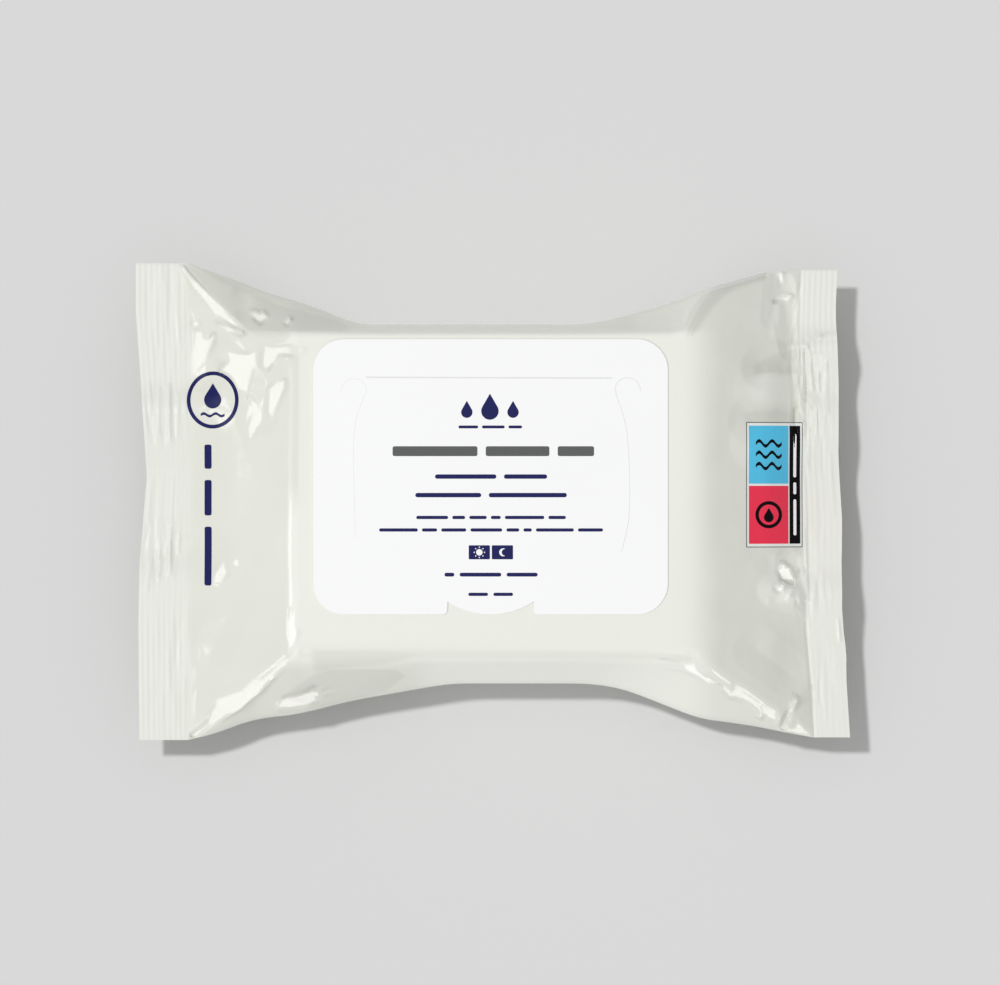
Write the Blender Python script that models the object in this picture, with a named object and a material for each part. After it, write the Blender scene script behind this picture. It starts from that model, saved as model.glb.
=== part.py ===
"""A sealed pack of wet wipes, lying on its back seam: a flow-wrapped film pouch with a resealable label.

X runs along the pack, from one crimped end to the other, Y across it and Z up. The origin is under the
middle of the pack, on the surface that it lies on. All sizes are in metres.
"""

import math

import bmesh
import bpy
import numpy as np
from mathutils import Vector

# The pouch as a whole
PACK_LENGTH = 0.190
PACK_HEIGHT = 0.0300
FILM_FLAT_WIDTH = 0.1270

# The crimped ends, where the film is welded flat
CRIMP_LENGTH_LEFT = 0.0135
CRIMP_LENGTH_RIGHT = 0.0098
CRIMP_HEIGHT = 0.0130
CRIMP_THICKNESS = 0.0006
CRIMP_RIB_PITCH = 0.0015
CRIMP_RIB_HEIGHT = 0.0004
CRIMP_EDGE_TAPER = 0.0010
CRIMP_WAVE_REACH = 0.0140

# How far the cut edge of each crimped end (-1 left, 1 right) lies inside the pack's length, by its share
# of the way from the middle to the rear, and how much of that the root of the crimp shares
CRIMP_INSET = {
    -1: [(-1.0, 0.0010), (-0.5, 0.0007), (-0.25, 0.0010), (0.10, 0.0029), (0.4, 0.0018), (0.8, 0.0)],
    1: [(-1.0, 0.0), (-0.75, 0.0010), (-0.55, 0.0021), (0.0, 0.0034), (0.75, 0.0040), (1.0, 0.0034)],
}
CRIMP_ROOT_SHARE = {-1: 0.3, 1: 1.0}

# Waves pressed into each crimped end: place across, spread across, rise
CRIMP_WAVES = {
    -1: [(0.38, 0.09, 0.0022), (0.12, 0.07, -0.0010), (-0.18, 0.11, -0.0020), (-0.75, 0.20, 0.0010)],
    1: [
        (0.64, 0.07, 0.0022),
        (0.47, 0.07, -0.0012),
        (0.28, 0.08, 0.0010),
        (0.10, 0.11, -0.0016),
        (-0.40, 0.10, 0.0020),
        (-0.62, 0.10, -0.0010),
    ],
}

# The flat top over the stack of wipes: how far it reaches from the origin each way
TOP_REACH_LEFT = 0.0530
TOP_REACH_RIGHT = 0.0550
TOP_REACH_REAR = 0.0444
TOP_REACH_FRONT = 0.0410
TOP_ROUND_LEFT = 0.0016
TOP_ROUND_RIGHT = 0.0050
TOP_ROUND_REAR = 0.0013
TOP_ROUND_FRONT = 0.0040

# The widest line round the pack, at the waist between its two flared ends
WAIST_REACH_REAR = 0.0471
WAIST_REACH_FRONT = 0.0482
WAIST_HEIGHT = 0.0110
WAIST_ROUND = 0.0060
FLARE_EASE = 0.0045

# The face that it lies on
BASE_REACH_LEFT = 0.0530
BASE_REACH_RIGHT = 0.0530
BASE_REACH_REAR = 0.0425
BASE_REACH_FRONT = 0.0435
BASE_EDGE_ROUND = 0.0050
BASE_END_ROUND = 0.0030

# The back seam: a crimped fin of film, folded over flat under the pack
SEAM_WIDTH = 0.0100
SEAM_THICKNESS = 0.0004
SEAM_GROOVE = 0.0020
SEAM_OFFSET = 0.0010

# Each corner of the pouch. The flare is its outline from the waist to the crimp: how far back from the
# crimp, and the share of the widening. The fold is the line along the top edge: how far past the end of
# the flat top it leaves it, and how far back from the crimp it meets the flared side. The tuck is how
# much of the film's flat width is bunched up there.
CORNERS = {
    ("rear", -1): {
        "flare": [(0.0449, 0.0), (0.0, 1.0)],
        "fold_past": 0.0131,
        "fold_back": 0.0,
        "tuck": 0.0,
    },
    ("rear", 1): {
        "flare": [(0.0595, 0.0), (0.0435, 0.27), (0.0252, 0.69), (0.0101, 1.0)],
        "fold_past": -0.0046,
        "fold_back": 0.0242,
        "tuck": 0.0018,
    },
    ("front", -1): {
        "flare": [(0.0701, 0.0), (0.0435, 0.31), (0.0303, 0.54), (0.0170, 0.66), (0.0080, 0.93), (0.0, 1.0)],
        "fold_past": 0.0003,
        "fold_back": 0.0015,
        "tuck": 0.0,
    },
    ("front", 1): {
        "flare": [(0.0634, 0.0), (0.0435, 0.31), (0.0303, 0.62), (0.0170, 0.79), (0.0, 1.0)],
        "fold_past": -0.0030,
        "fold_back": 0.0062,
        "tuck": 0.0007,
    },
}

# The label that peels back and reseals
LABEL_LENGTH = 0.0937
LABEL_WIDTH = 0.0727
LABEL_THICKNESS = 0.0003
LABEL_CORNER_RADIUS = 0.0082
LABEL_LEFT_MARGIN = 0.0055
LABEL_REAR_MARGIN = 0.0015
LABEL_GLUE_GAP = 0.0003
TAB_WIDTH = 0.0228
TAB_NOTCH_DEPTH = 0.0034
TAB_NOTCH_ROUND = 0.0012

# The line of the opening that shows through the label: a top line and a hooked line down each side
OPENING_SIDE_MARGIN = 0.0103
OPENING_TOP_MARGIN = 0.0101
OPENING_TOP_INSET = 0.0040
OPENING_SIDE_LENGTH = 0.0460
HOOK_RADIUS = 0.0034
HOOK_NECK = 0.0030
GROOVE_RADIUS = 0.0002
GROOVE_DEPTH = 0.00012

# How finely the film is drawn
PANEL_STEPS = 10
END_STEPS = 12
TOP_STEPS = 10
CORNER_STEPS = 2

# Creases in the film of the two end slopes: the start and the end of each, as the share of the way down
# the slope and of the way from the middle to the rear, then its rise and its reach to either side
CREASES = {
    -1: [
        ((0.50, 0.73), (0.05, 0.62), 0.0010, 0.0045),
        ((0.90, 0.74), (0.80, 0.52), -0.0014, 0.0050),
        ((0.62, 0.62), (0.42, 0.48), 0.0016, 0.0050),
        ((0.20, 0.50), (0.28, 0.34), -0.0008, 0.0045),
        ((0.72, 0.32), (0.52, 0.05), 0.0006, 0.0055),
        ((0.80, -0.34), (0.55, -0.24), 0.0006, 0.0045),
        ((0.58, -0.46), (0.75, -0.62), -0.0006, 0.0055),
    ],
    1: [
        ((0.68, 0.98), (0.64, 0.77), -0.0016, 0.0035),
        ((0.92, 0.68), (0.78, 0.88), -0.0024, 0.0060),
        ((0.55, 0.56), (0.95, 0.60), -0.0018, 0.0060),
        ((0.45, 0.34), (0.90, 0.38), -0.0012, 0.0065),
        ((0.82, -0.26), (1.00, -0.31), -0.0016, 0.0045),
        ((0.66, -0.37), (0.98, -0.40), 0.0018, 0.0050),
        ((0.50, -0.62), (0.80, -0.72), -0.0010, 0.0065),
    ],
}

# The same sizes by end and by side: -1 is the left end and 1 the right one
CRIMP_LENGTH = {-1: CRIMP_LENGTH_LEFT, 1: CRIMP_LENGTH_RIGHT}
CRIMP_START = {end: PACK_LENGTH / 2 - CRIMP_LENGTH[end] for end in (-1, 1)}
TOP_REACH = {-1: TOP_REACH_LEFT, 1: TOP_REACH_RIGHT, "rear": TOP_REACH_REAR, "front": TOP_REACH_FRONT}
TOP_ROUND = {-1: TOP_ROUND_LEFT, 1: TOP_ROUND_RIGHT, "rear": TOP_ROUND_REAR, "front": TOP_ROUND_FRONT}
WAIST_REACH = {"rear": WAIST_REACH_REAR, "front": WAIST_REACH_FRONT}
BASE_REACH = {-1: BASE_REACH_LEFT, 1: BASE_REACH_RIGHT, "rear": BASE_REACH_REAR, "front": BASE_REACH_FRONT}
HALF_FLAT = FILM_FLAT_WIDTH / 2


def clear_scene():
    for obj in list(bpy.data.objects):
        bpy.data.objects.remove(obj, do_unlink=True)


def new_collection(name):
    collection = bpy.data.collections.new(name)
    bpy.context.scene.collection.children.link(collection)
    return collection


def plastic(name, colour, roughness):
    """A plain plastic material."""
    material = bpy.data.materials.new(name)
    material.use_nodes = True
    shader = material.node_tree.nodes["Principled BSDF"]
    shader.inputs["Base Color"].default_value = (*colour, 1.0)
    shader.inputs["Roughness"].default_value = roughness
    shader.inputs["Metallic"].default_value = 0.0
    return material


def eased(line, x, reach):
    """The height at x of a line of (x, height) points, its corners rounded by averaging over the reach."""
    xs, heights = zip(*line)
    reach = min(reach, max(CRIMP_START[end_of(x)] - abs(x), 0.0))
    offsets = np.linspace(-reach, reach, 9)
    return float(np.interp(x + offsets, xs, heights).mean())


def ramp(x, start, end):
    """0 at start, 1 at end, with a smooth step between."""
    t = min(max((x - start) / (end - start), 0.0), 1.0)
    return t * t * (3.0 - 2.0 * t)


def end_of(x):
    """The end of the pack that x is nearer to: -1 for the left one, 1 for the right one."""
    return -1 if x < 0 else 1


def left_to_right(run):
    """The points of one side of the pack, given for its two ends from the crimp inwards, in one line."""
    return [(-x, y) for x, y in run[-1]] + [(x, y) for x, y in run[1][::-1]]


def side_line(side):
    """The outline of one long side, seen from above: a straight waist and two flared ends."""
    waist = WAIST_REACH[side]
    run = {}
    for end in (-1, 1):
        corner = CORNERS[side, end]
        widening = HALF_FLAT - corner["tuck"] - waist
        flare = corner["flare"][::-1]
        run[end] = [(CRIMP_START[end] - back, waist + share * widening) for back, share in flare]
    return left_to_right(run)


def fold_line(side):
    """The fold along the top edge of one long side, which runs out to the flared side at both ends."""
    outline = side_line(side)
    run = {}
    for end in (-1, 1):
        corner = CORNERS[side, end]
        meets = CRIMP_START[end] - corner["fold_back"]
        leaves = TOP_REACH[end] + corner["fold_past"]
        outer = [CRIMP_START[end], (CRIMP_START[end] + meets) / 2, meets]
        run[end] = [(x, eased(outline, end * x, FLARE_EASE) - CRIMP_EDGE_TAPER) for x in outer]
        run[end].append((leaves, TOP_REACH[side]))
    return left_to_right(run)


def film_height(x, middle, reach, crimp_height, rounding):
    """Height of the upper or under film along the pack: level over the wipes, then out to the crimps."""
    line = [
        (-CRIMP_START[-1], crimp_height),
        (-reach[-1], middle),
        (reach[1], middle),
        (CRIMP_START[1], crimp_height),
    ]
    return eased(line, x, rounding)


def side_height(x):
    """Height of the widest line: low at the waist, level with the crimp at the ends."""
    end = end_of(x)
    return WAIST_HEIGHT + (CRIMP_HEIGHT - WAIST_HEIGHT) * ramp(abs(x), BASE_REACH[end], CRIMP_START[end])


def base_reach(x, side):
    """How far the flat underside reaches: under the wipes, then out to the width of the crimp."""
    end = end_of(x)
    outer = eased(side_line(side), x, FLARE_EASE) - CRIMP_EDGE_TAPER
    spread = ramp(abs(x), BASE_REACH[end] * 0.7, CRIMP_START[end])
    return BASE_REACH[side] + (outer - BASE_REACH[side]) * spread


def corner_curve(before, corner, after, round_by, part):
    """Points of the rounding at a corner of the section: all of it, or its first or last half."""
    before, corner, after = Vector(before), Vector(corner), Vector(after)
    back, ahead = before - corner, after - corner
    start = corner + back.normalized() * min(round_by, back.length * 0.45)
    end = corner + ahead.normalized() * min(round_by, ahead.length * 0.45)
    low, high = {"all": (0.0, 1.0), "first": (0.0, 0.5), "last": (0.5, 1.0)}[part]
    count = 2 * CORNER_STEPS if part == "all" else CORNER_STEPS
    points = []
    for i in range(count + 1):
        t = low + (high - low) * i / count
        points.append(start * (1 - t) ** 2 + corner * 2 * t * (1 - t) + end * t * t)
    return points


def corner_past(before, widest, after, round_by):
    """The corner that has to be rounded for the curve to pass through the widest point."""
    back, ahead = before - widest, after - widest
    pull = back.normalized() * min(round_by, back.length * 0.45)
    pull += ahead.normalized() * min(round_by, ahead.length * 0.45)
    return widest - pull / 4


def seam_breaks():
    """Across the pack, the places where the back seam and the grooves beside it start and end."""
    half, step, groove = SEAM_WIDTH / 2, SEAM_THICKNESS, SEAM_GROOVE
    ends = (half + groove, half + groove / 2, half + step, half, -half, -half - step, -half - groove)
    return [SEAM_OFFSET + y for y in ends]


def panel_points(rear, front):
    """Points across a flat panel of film between its rear and front corners, both left out."""
    breaks = seam_breaks()
    across = list(np.linspace(rear.x, breaks[0], PANEL_STEPS + 1)[1:-1])
    across += breaks
    across += list(np.linspace(breaks[-1], front.x, PANEL_STEPS + 1)[1:-1])
    return [Vector((y, rear.y + (front.y - rear.y) * (y - rear.x) / (front.x - rear.x))) for y in across]


def half_section(sides, folds, others, rounds):
    """One half of a section, from the middle of the rear side over its two folds to the front side. The
    sides, the folds and the other half's folds are each given rear first."""
    points = corner_curve(others[0], sides[0], folds[0], WAIST_ROUND, "last")
    rear_curve = corner_curve(sides[0], folds[0], folds[1], rounds[0], "all")
    front_curve = corner_curve(folds[0], folds[1], sides[1], rounds[1], "all")
    last = corner_curve(folds[1], sides[1], others[1], WAIST_ROUND, "first")
    points.append((points[-1] + rear_curve[0]) / 2)
    points += rear_curve
    points += panel_points(rear_curve[-1], front_curve[0])
    points += front_curve
    points.append((front_curve[-1] + last[0]) / 2)
    return points + last


def seam_relief(y, z):
    """How far the underside is moved at the back seam, where the film without it lies at y and z. Under
    the wipes the seam is flush and lies between two grooves, and past them it stands proud."""
    proud = min(z, SEAM_THICKNESS)
    half = SEAM_WIDTH / 2
    off = abs(y - SEAM_OFFSET)
    if off <= half + 1e-6:
        return -proud
    if off < half + SEAM_GROOVE - 1e-6:
        return SEAM_THICKNESS - proud
    return 0.0


def crimp_wave(end, across):
    """How far the crimped end stands above or below its mean height, by the share across the pack."""
    return sum(rise * math.exp(-(((across - at) / spread) ** 2)) for at, spread, rise in CRIMP_WAVES[end])


def rib_height(x):
    """Ribs pressed across the crimped ends: up and down by turns, every half pitch."""
    into = (abs(x) - CRIMP_START[end_of(x)]) / (CRIMP_RIB_PITCH / 2)
    if into < 0.5:
        return 0.0
    return CRIMP_RIB_HEIGHT / 2 * (1 if round(into) % 2 else -1)


def on_slope(end, down, across):
    """A point of an end slope, from its share of the way down the slope and across the pack."""
    return Vector((end * (TOP_REACH[end] + down * (CRIMP_START[end] - TOP_REACH[end])), across * HALF_FLAT))


def crease_height(x, y):
    """Rise of the upper film at the creases of the end slopes, each a tent along a line."""
    end = end_of(x)
    here = Vector((x, y))
    rise = 0.0
    for start, finish, height, reach in CREASES[end]:
        start = on_slope(end, *start)
        along = on_slope(end, *finish) - start
        share = min(max((here - start).dot(along) / along.length_squared, 0.0), 1.0)
        away = (here - start - along * share).length
        rise += height * max(0.0, 1.0 - away / reach)
    rise *= ramp(abs(x), TOP_REACH[end] - TOP_ROUND[end], TOP_REACH[end] + 0.004)
    return rise * (1.0 - ramp(abs(x), CRIMP_START[end] - 0.002, CRIMP_START[end]))


def place(x, y, z, upper):
    """A point of the section at x, moved by creases, seam, ribs and waves to its place in the pack."""
    end = end_of(x)
    across = y / HALF_FLAT
    near_end = ramp(abs(x), CRIMP_START[end] - CRIMP_WAVE_REACH, CRIMP_START[end])
    z += crease_height(x, y) if upper else seam_relief(y, z)
    z += crimp_wave(end, across) * near_end + rib_height(x)
    into_crimp = max(abs(x) - CRIMP_START[end], 0.0) / CRIMP_LENGTH[end]
    root = CRIMP_ROOT_SHARE[end]
    inset = np.interp(across, *zip(*CRIMP_INSET[end])) * (root * near_end + (1.0 - root) * into_crimp)
    return (end * (abs(x) - inset), y, z)


def section_ring(x):
    """The closed section of the pouch at x, as points in the pack's own frame."""
    weld = CRIMP_THICKNESS / 2
    rounding = TOP_ROUND[end_of(x)]
    top = film_height(x, PACK_HEIGHT, TOP_REACH, CRIMP_HEIGHT + weld, rounding)
    base = film_height(x, 0.0, BASE_REACH, CRIMP_HEIGHT - weld, BASE_END_ROUND)
    side_keys, fold_keys, base_keys = [], [], []
    for side, sign in (("rear", 1), ("front", -1)):
        side_keys.append(Vector((sign * eased(side_line(side), x, FLARE_EASE), side_height(x))))
        fold_keys.append(Vector((sign * eased(fold_line(side), x, TOP_ROUND[side]), top)))
        base_keys.append(Vector((sign * base_reach(x, side), base)))
    side_keys = [corner_past(*keys, WAIST_ROUND) for keys in zip(base_keys, side_keys, fold_keys)]
    rounds = (TOP_ROUND["rear"], TOP_ROUND["front"])
    over = half_section(side_keys, fold_keys, base_keys, rounds)
    under = half_section(side_keys, base_keys, fold_keys, (BASE_EDGE_ROUND, BASE_EDGE_ROUND))
    upper = [place(x, p.x, p.y, True) for p in over]
    lower = [place(x, p.x, p.y, False) for p in under[1:-1]]
    return upper, lower


def stations():
    """Places along the pack where a section is drawn: close at the ribs, wider over the wipes."""
    places = {}
    for end in (-1, 1):
        ribs = round(CRIMP_LENGTH[end] / (CRIMP_RIB_PITCH / 2))
        crimp = [CRIMP_START[end] + CRIMP_LENGTH[end] * i / ribs for i in range(ribs, 0, -1)]
        top_end, rounding = TOP_REACH[end], TOP_ROUND[end]
        slope = list(np.linspace(CRIMP_START[end], top_end + rounding, END_STEPS + 1)[:-1])
        shoulder = list(np.linspace(top_end + rounding, top_end - rounding, 2 * CORNER_STEPS + 1))
        places[end] = crimp + slope + shoulder
    middle = list(np.linspace(-places[-1][-1], places[1][-1], TOP_STEPS + 1)[1:-1])
    return [-x for x in places[-1]] + middle + places[1][::-1]


def build_film_pack(collection, material):
    """The pouch: a loft through its sections, closed by a strip along each cut end."""
    mesh = bmesh.new()
    rings = []
    for x in stations():
        upper, lower = section_ring(x)
        over = [mesh.verts.new(p) for p in upper]
        under = [mesh.verts.new(p) for p in lower]
        rings.append((over, [over[0], *under, over[-1]]))
    for (over_a, under_a), (over_b, under_b) in zip(rings, rings[1:]):
        for a, b in ((over_a, over_b), (under_b, under_a)):
            for i in range(len(a) - 1):
                mesh.faces.new((a[i], a[i + 1], b[i + 1], b[i]))
    for over, under in (rings[0], rings[-1]):
        for i in range(len(over) - 1):
            corners = (over[i], over[i + 1], under[i + 1], under[i])
            mesh.faces.new(tuple(dict.fromkeys(corners)))
    bmesh.ops.recalc_face_normals(mesh, faces=mesh.faces)
    data = bpy.data.meshes.new("film_pack")
    mesh.to_mesh(data)
    mesh.free()
    data.shade_smooth()
    data.set_sharp_from_angle(angle=math.radians(35))
    data.materials.append(material)
    pack = bpy.data.objects.new("film_pack", data)
    collection.objects.link(pack)
    return pack


def arc(centre, radius, start_deg, end_deg, steps):
    """Points along an arc in the plane of the label."""
    points = []
    for i in range(steps + 1):
        angle = math.radians(start_deg + (end_deg - start_deg) * i / steps)
        points.append((centre[0] + radius * math.cos(angle), centre[1] + radius * math.sin(angle)))
    return points


def label_outline():
    """The label's edge about its own centre: rounded corners, and a tab between two notches in front."""
    half_x, half_y = LABEL_LENGTH / 2, LABEL_WIDTH / 2
    corner = LABEL_CORNER_RADIUS
    outline = arc((half_x - corner, half_y - corner), corner, 0, 90, 8)
    outline += arc((corner - half_x, half_y - corner), corner, 90, 180, 8)
    outline += arc((corner - half_x, corner - half_y), corner, 180, 270, 8)
    half_tab, depth, small = TAB_WIDTH / 2, TAB_NOTCH_DEPTH, TAB_NOTCH_ROUND
    outline += arc((-half_tab - small, small - half_y), small, 270, 360, 4)
    tab_radius = (half_tab**2 + depth**2) / (2 * depth)
    swing = math.degrees(math.asin(half_tab / tab_radius))
    outline += arc((0.0, tab_radius - half_y), tab_radius, 270 - swing, 270 + swing, 12)
    outline += arc((half_tab + small, small - half_y), small, 180, 270, 4)
    outline += arc((half_x - corner, corner - half_y), corner, 270, 360, 8)
    return outline


def opening_lines():
    """Centre lines of the opening under the label, about the label's centre."""
    half_opening = LABEL_LENGTH / 2 - OPENING_SIDE_MARGIN
    top = LABEL_WIDTH / 2 - OPENING_TOP_MARGIN
    half_top = half_opening - OPENING_TOP_INSET
    lines = [[(-half_top, top), (half_top, top)]]
    hook_y = top - HOOK_RADIUS
    for side in (-1, 1):
        hook = arc((half_opening, hook_y), HOOK_RADIUS, 0, 215, 14)
        neck_end = hook_y - HOOK_RADIUS - HOOK_NECK
        foot = hook_y - OPENING_SIDE_LENGTH
        line = hook + [
            (half_opening - HOOK_RADIUS * 0.35, neck_end),
            (half_opening, neck_end - 2 * HOOK_NECK),
            (half_opening, foot + 2 * HOOK_RADIUS),
            (half_opening - HOOK_RADIUS * 0.6, foot),
        ]
        lines.append([(side * x, y) for x, y in line])
    return lines


def curve_object(name, points, collection, closed):
    """A straight-sided curve through points given in the plane of the label."""
    curve = bpy.data.curves.new(name, "CURVE")
    curve.dimensions = "2D" if closed else "3D"
    spline = curve.splines.new("POLY")
    spline.points.add(len(points) - 1)
    for point, (x, y) in zip(spline.points, points):
        point.co = (x, y, 0.0, 1.0)
    spline.use_cyclic_u = closed
    obj = bpy.data.objects.new(name, curve)
    collection.objects.link(obj)
    return obj


def as_mesh(obj, collection):
    """The same shape as a mesh object with its caps welded, in place of the curve."""
    bpy.context.view_layer.update()
    graph = bpy.context.evaluated_depsgraph_get()
    data = bpy.data.meshes.new_from_object(obj.evaluated_get(graph))
    mesh = bmesh.new()
    mesh.from_mesh(data)
    bmesh.ops.remove_doubles(mesh, verts=mesh.verts, dist=1e-6)
    bmesh.ops.recalc_face_normals(mesh, faces=mesh.faces)
    mesh.to_mesh(data)
    mesh.free()
    name = obj.name
    made = bpy.data.objects.new(name + "_mesh", data)
    made.matrix_world = obj.matrix_world.copy()
    collection.objects.link(made)
    bpy.data.objects.remove(obj, do_unlink=True)
    made.name = name
    return made


def build_reseal_label(collection, cutters, material):
    """The label: one die-cut sheet, with the line of the opening pressed into its face."""
    seat = PACK_HEIGHT + LABEL_GLUE_GAP
    centre_x = LABEL_LEFT_MARGIN + LABEL_LENGTH / 2 - TOP_REACH[-1]
    centre_y = TOP_REACH["rear"] - LABEL_REAR_MARGIN - LABEL_WIDTH / 2
    outline = curve_object("reseal_label", label_outline(), collection, closed=True)
    outline.data.fill_mode = "BOTH"
    outline.data.extrude = LABEL_THICKNESS / 2
    outline.location = (centre_x, centre_y, seat + LABEL_THICKNESS / 2)
    label = as_mesh(outline, collection)
    label.data.materials.append(material)
    groove_height = seat + LABEL_THICKNESS + GROOVE_RADIUS - GROOVE_DEPTH
    for number, line in enumerate(opening_lines()):
        path = curve_object(f"opening_groove_{number}", line, cutters, closed=False)
        path.data.bevel_depth = GROOVE_RADIUS
        path.data.bevel_resolution = 1
        path.data.use_fill_caps = True
        path.location = (centre_x, centre_y, groove_height)
        groove = as_mesh(path, cutters)
        groove.hide_render = True
        groove.display_type = "WIRE"
        cut = label.modifiers.new(f"opening_{number}", "BOOLEAN")
        cut.operation = "DIFFERENCE"
        cut.solver = "EXACT"
        cut.object = groove
    return label


def main():
    clear_scene()
    parts = new_collection("wet_wipes_pack")
    cutters = new_collection("cutters")
    film = plastic("white_film", (0.83, 0.84, 0.78), 0.25)
    label_face = plastic("label_white", (0.93, 0.93, 0.93), 0.45)
    build_film_pack(parts, film)
    build_reseal_label(parts, cutters, label_face)


main()
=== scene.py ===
"""The looks of a sealed pack of wet wipes: a glossy film pouch, its label, the print and a soft studio."""

import math

import bpy
import numpy as np
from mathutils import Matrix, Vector
from mathutils.bvhtree import BVHTree
from mathutils.geometry import delaunay_2d_cdt


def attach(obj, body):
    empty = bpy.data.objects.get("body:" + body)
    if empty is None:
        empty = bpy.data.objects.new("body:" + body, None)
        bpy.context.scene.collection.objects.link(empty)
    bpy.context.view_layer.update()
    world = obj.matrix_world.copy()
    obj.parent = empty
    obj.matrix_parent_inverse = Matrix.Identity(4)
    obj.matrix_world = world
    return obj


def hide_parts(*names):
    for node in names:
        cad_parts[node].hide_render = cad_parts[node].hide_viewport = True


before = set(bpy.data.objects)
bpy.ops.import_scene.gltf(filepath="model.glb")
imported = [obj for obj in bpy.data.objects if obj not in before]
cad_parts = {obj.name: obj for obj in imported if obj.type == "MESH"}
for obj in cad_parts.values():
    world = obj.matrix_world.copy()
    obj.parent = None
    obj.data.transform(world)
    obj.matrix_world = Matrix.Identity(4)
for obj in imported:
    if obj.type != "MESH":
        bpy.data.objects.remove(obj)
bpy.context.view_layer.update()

# The sizes of the pouch in metres, as in the model apart from the finer ribs: -1 is the left end and 1 the
# right one
PACK_LENGTH = 0.190
PACK_HEIGHT = 0.0300
HALF_FLAT = 0.0635
CRIMP_LENGTH = {-1: 0.0135, 1: 0.0098}
CRIMP_START = {end: PACK_LENGTH / 2 - CRIMP_LENGTH[end] for end in (-1, 1)}
CRIMP_HEIGHT = 0.0130
CRIMP_THICKNESS = 0.0006
CRIMP_RIB_PITCH = 0.0015
CRIMP_RIB_HEIGHT = 0.00011
CRIMP_EDGE_TAPER = 0.0010
CRIMP_WAVE_REACH = 0.0140
CRIMP_INSET = {
    -1: [(-1.0, 0.0010), (-0.5, 0.0007), (-0.25, 0.0010), (0.10, 0.0029), (0.4, 0.0018), (0.8, 0.0)],
    1: [(-1.0, 0.0), (-0.75, 0.0010), (-0.55, 0.0021), (0.0, 0.0034), (0.75, 0.0040), (1.0, 0.0034)],
}
CRIMP_ROOT_SHARE = {-1: 0.3, 1: 1.0}
CRIMP_WAVES = {
    -1: [(0.38, 0.09, 0.0022), (0.12, 0.07, -0.0010), (-0.18, 0.11, -0.0020), (-0.75, 0.20, 0.0010)],
    1: [
        (0.64, 0.07, 0.0022),
        (0.47, 0.07, -0.0012),
        (0.28, 0.08, 0.0010),
        (0.10, 0.11, -0.0016),
        (-0.40, 0.10, 0.0020),
        (-0.62, 0.10, -0.0010),
    ],
}
TOP_REACH = {-1: 0.0530, 1: 0.0550, "rear": 0.0444, "front": 0.0410}
TOP_ROUND = {-1: 0.0016, 1: 0.0050, "rear": 0.0013, "front": 0.0040}
WAIST_REACH = {"rear": 0.0471, "front": 0.0487}
WAIST_HEIGHT = 0.0110
WAIST_ROUND = 0.0060
FLARE_EASE = 0.0045
FOLD_BOW_AT = (0.2, 0.4, 0.6, 0.8)
BASE_REACH = {-1: 0.0530, 1: 0.0530, "rear": 0.0425, "front": 0.0435}
BASE_EDGE_ROUND = 0.0050
BASE_END_ROUND = 0.0030
SEAM_WIDTH = 0.0100
SEAM_THICKNESS = 0.0004
SEAM_GROOVE = 0.0020
SEAM_OFFSET = 0.0010
CORNERS = {
    ("rear", -1): {
        "flare": [(0.0449, 0.0), (0.0409, 0.125), (0.0303, 0.372), (0.0240, 0.48), (0.0, 1.0)],
        "fold_past": 0.0131,
        "fold_back": 0.0,
        "fold_bow": 0.0,
        "tuck": 0.0,
    },
    ("rear", 1): {
        "flare": [(0.0595, 0.0), (0.0435, 0.27), (0.0252, 0.69), (0.0101, 1.0)],
        "fold_past": -0.0046,
        "fold_back": 0.0242,
        "fold_bow": 0.0041,
        "tuck": 0.0018,
    },
    ("front", -1): {
        "flare": [(0.0701, 0.0), (0.0435, 0.31), (0.0303, 0.54), (0.0170, 0.66), (0.0085, 0.875), (0.0, 1.0)],
        "fold_past": 0.0003,
        "fold_back": 0.0015,
        "fold_bow": 0.0,
        "tuck": 0.0,
    },
    ("front", 1): {
        "flare": [(0.0590, 0.0), (0.0502, 0.105), (0.0435, 0.29), (0.0303, 0.66), (0.0170, 0.79), (0.0, 1.0)],
        "fold_past": -0.0030,
        "fold_back": 0.0062,
        "fold_bow": 0.0,
        "tuck": 0.0007,
    },
}
CREASES = {
    -1: [
        ((0.50, 0.73), (0.05, 0.62), 0.0010, 0.0045),
        ((0.90, 0.74), (0.80, 0.52), -0.0014, 0.0050),
        ((0.62, 0.62), (0.42, 0.48), 0.0016, 0.0050),
        ((0.20, 0.50), (0.28, 0.34), -0.0008, 0.0045),
        ((0.72, 0.32), (0.52, 0.05), 0.0006, 0.0055),
        ((0.80, -0.34), (0.55, -0.24), 0.0006, 0.0045),
        ((0.58, -0.46), (0.75, -0.62), -0.0006, 0.0055),
    ],
    1: [
        ((0.68, 0.98), (0.64, 0.77), -0.0016, 0.0035),
        ((0.92, 0.68), (0.78, 0.88), -0.0024, 0.0060),
        ((0.55, 0.56), (0.95, 0.60), -0.0018, 0.0060),
        ((0.45, 0.34), (0.90, 0.38), -0.0012, 0.0065),
        ((0.82, -0.26), (1.00, -0.31), -0.0016, 0.0045),
        ((0.66, -0.37), (0.98, -0.40), 0.0018, 0.0050),
        ((0.50, -0.62), (0.80, -0.72), -0.0010, 0.0065),
    ],
}
CREASE_SOFTNESS = 0.0003
LABEL_LENGTH = 0.0937
LABEL_WIDTH = 0.0727
LABEL_CORNER_RADIUS = 0.0082
LABEL_CENTRE = Vector((-0.00065, 0.00655))
LABEL_TOP = 0.03036
LABEL_THICKNESS = 0.0003
LABEL_EDGE_ROUND = 0.00005
TAB_WIDTH = 0.0228
TAB_NOTCH_DEPTH = 0.0034
TAB_NOTCH_ROUND = 0.0012
OPENING_REACH = 0.00022
OPENING_FLATNESS = 0.36
OPENING_SUNK = 0.000004

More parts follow.
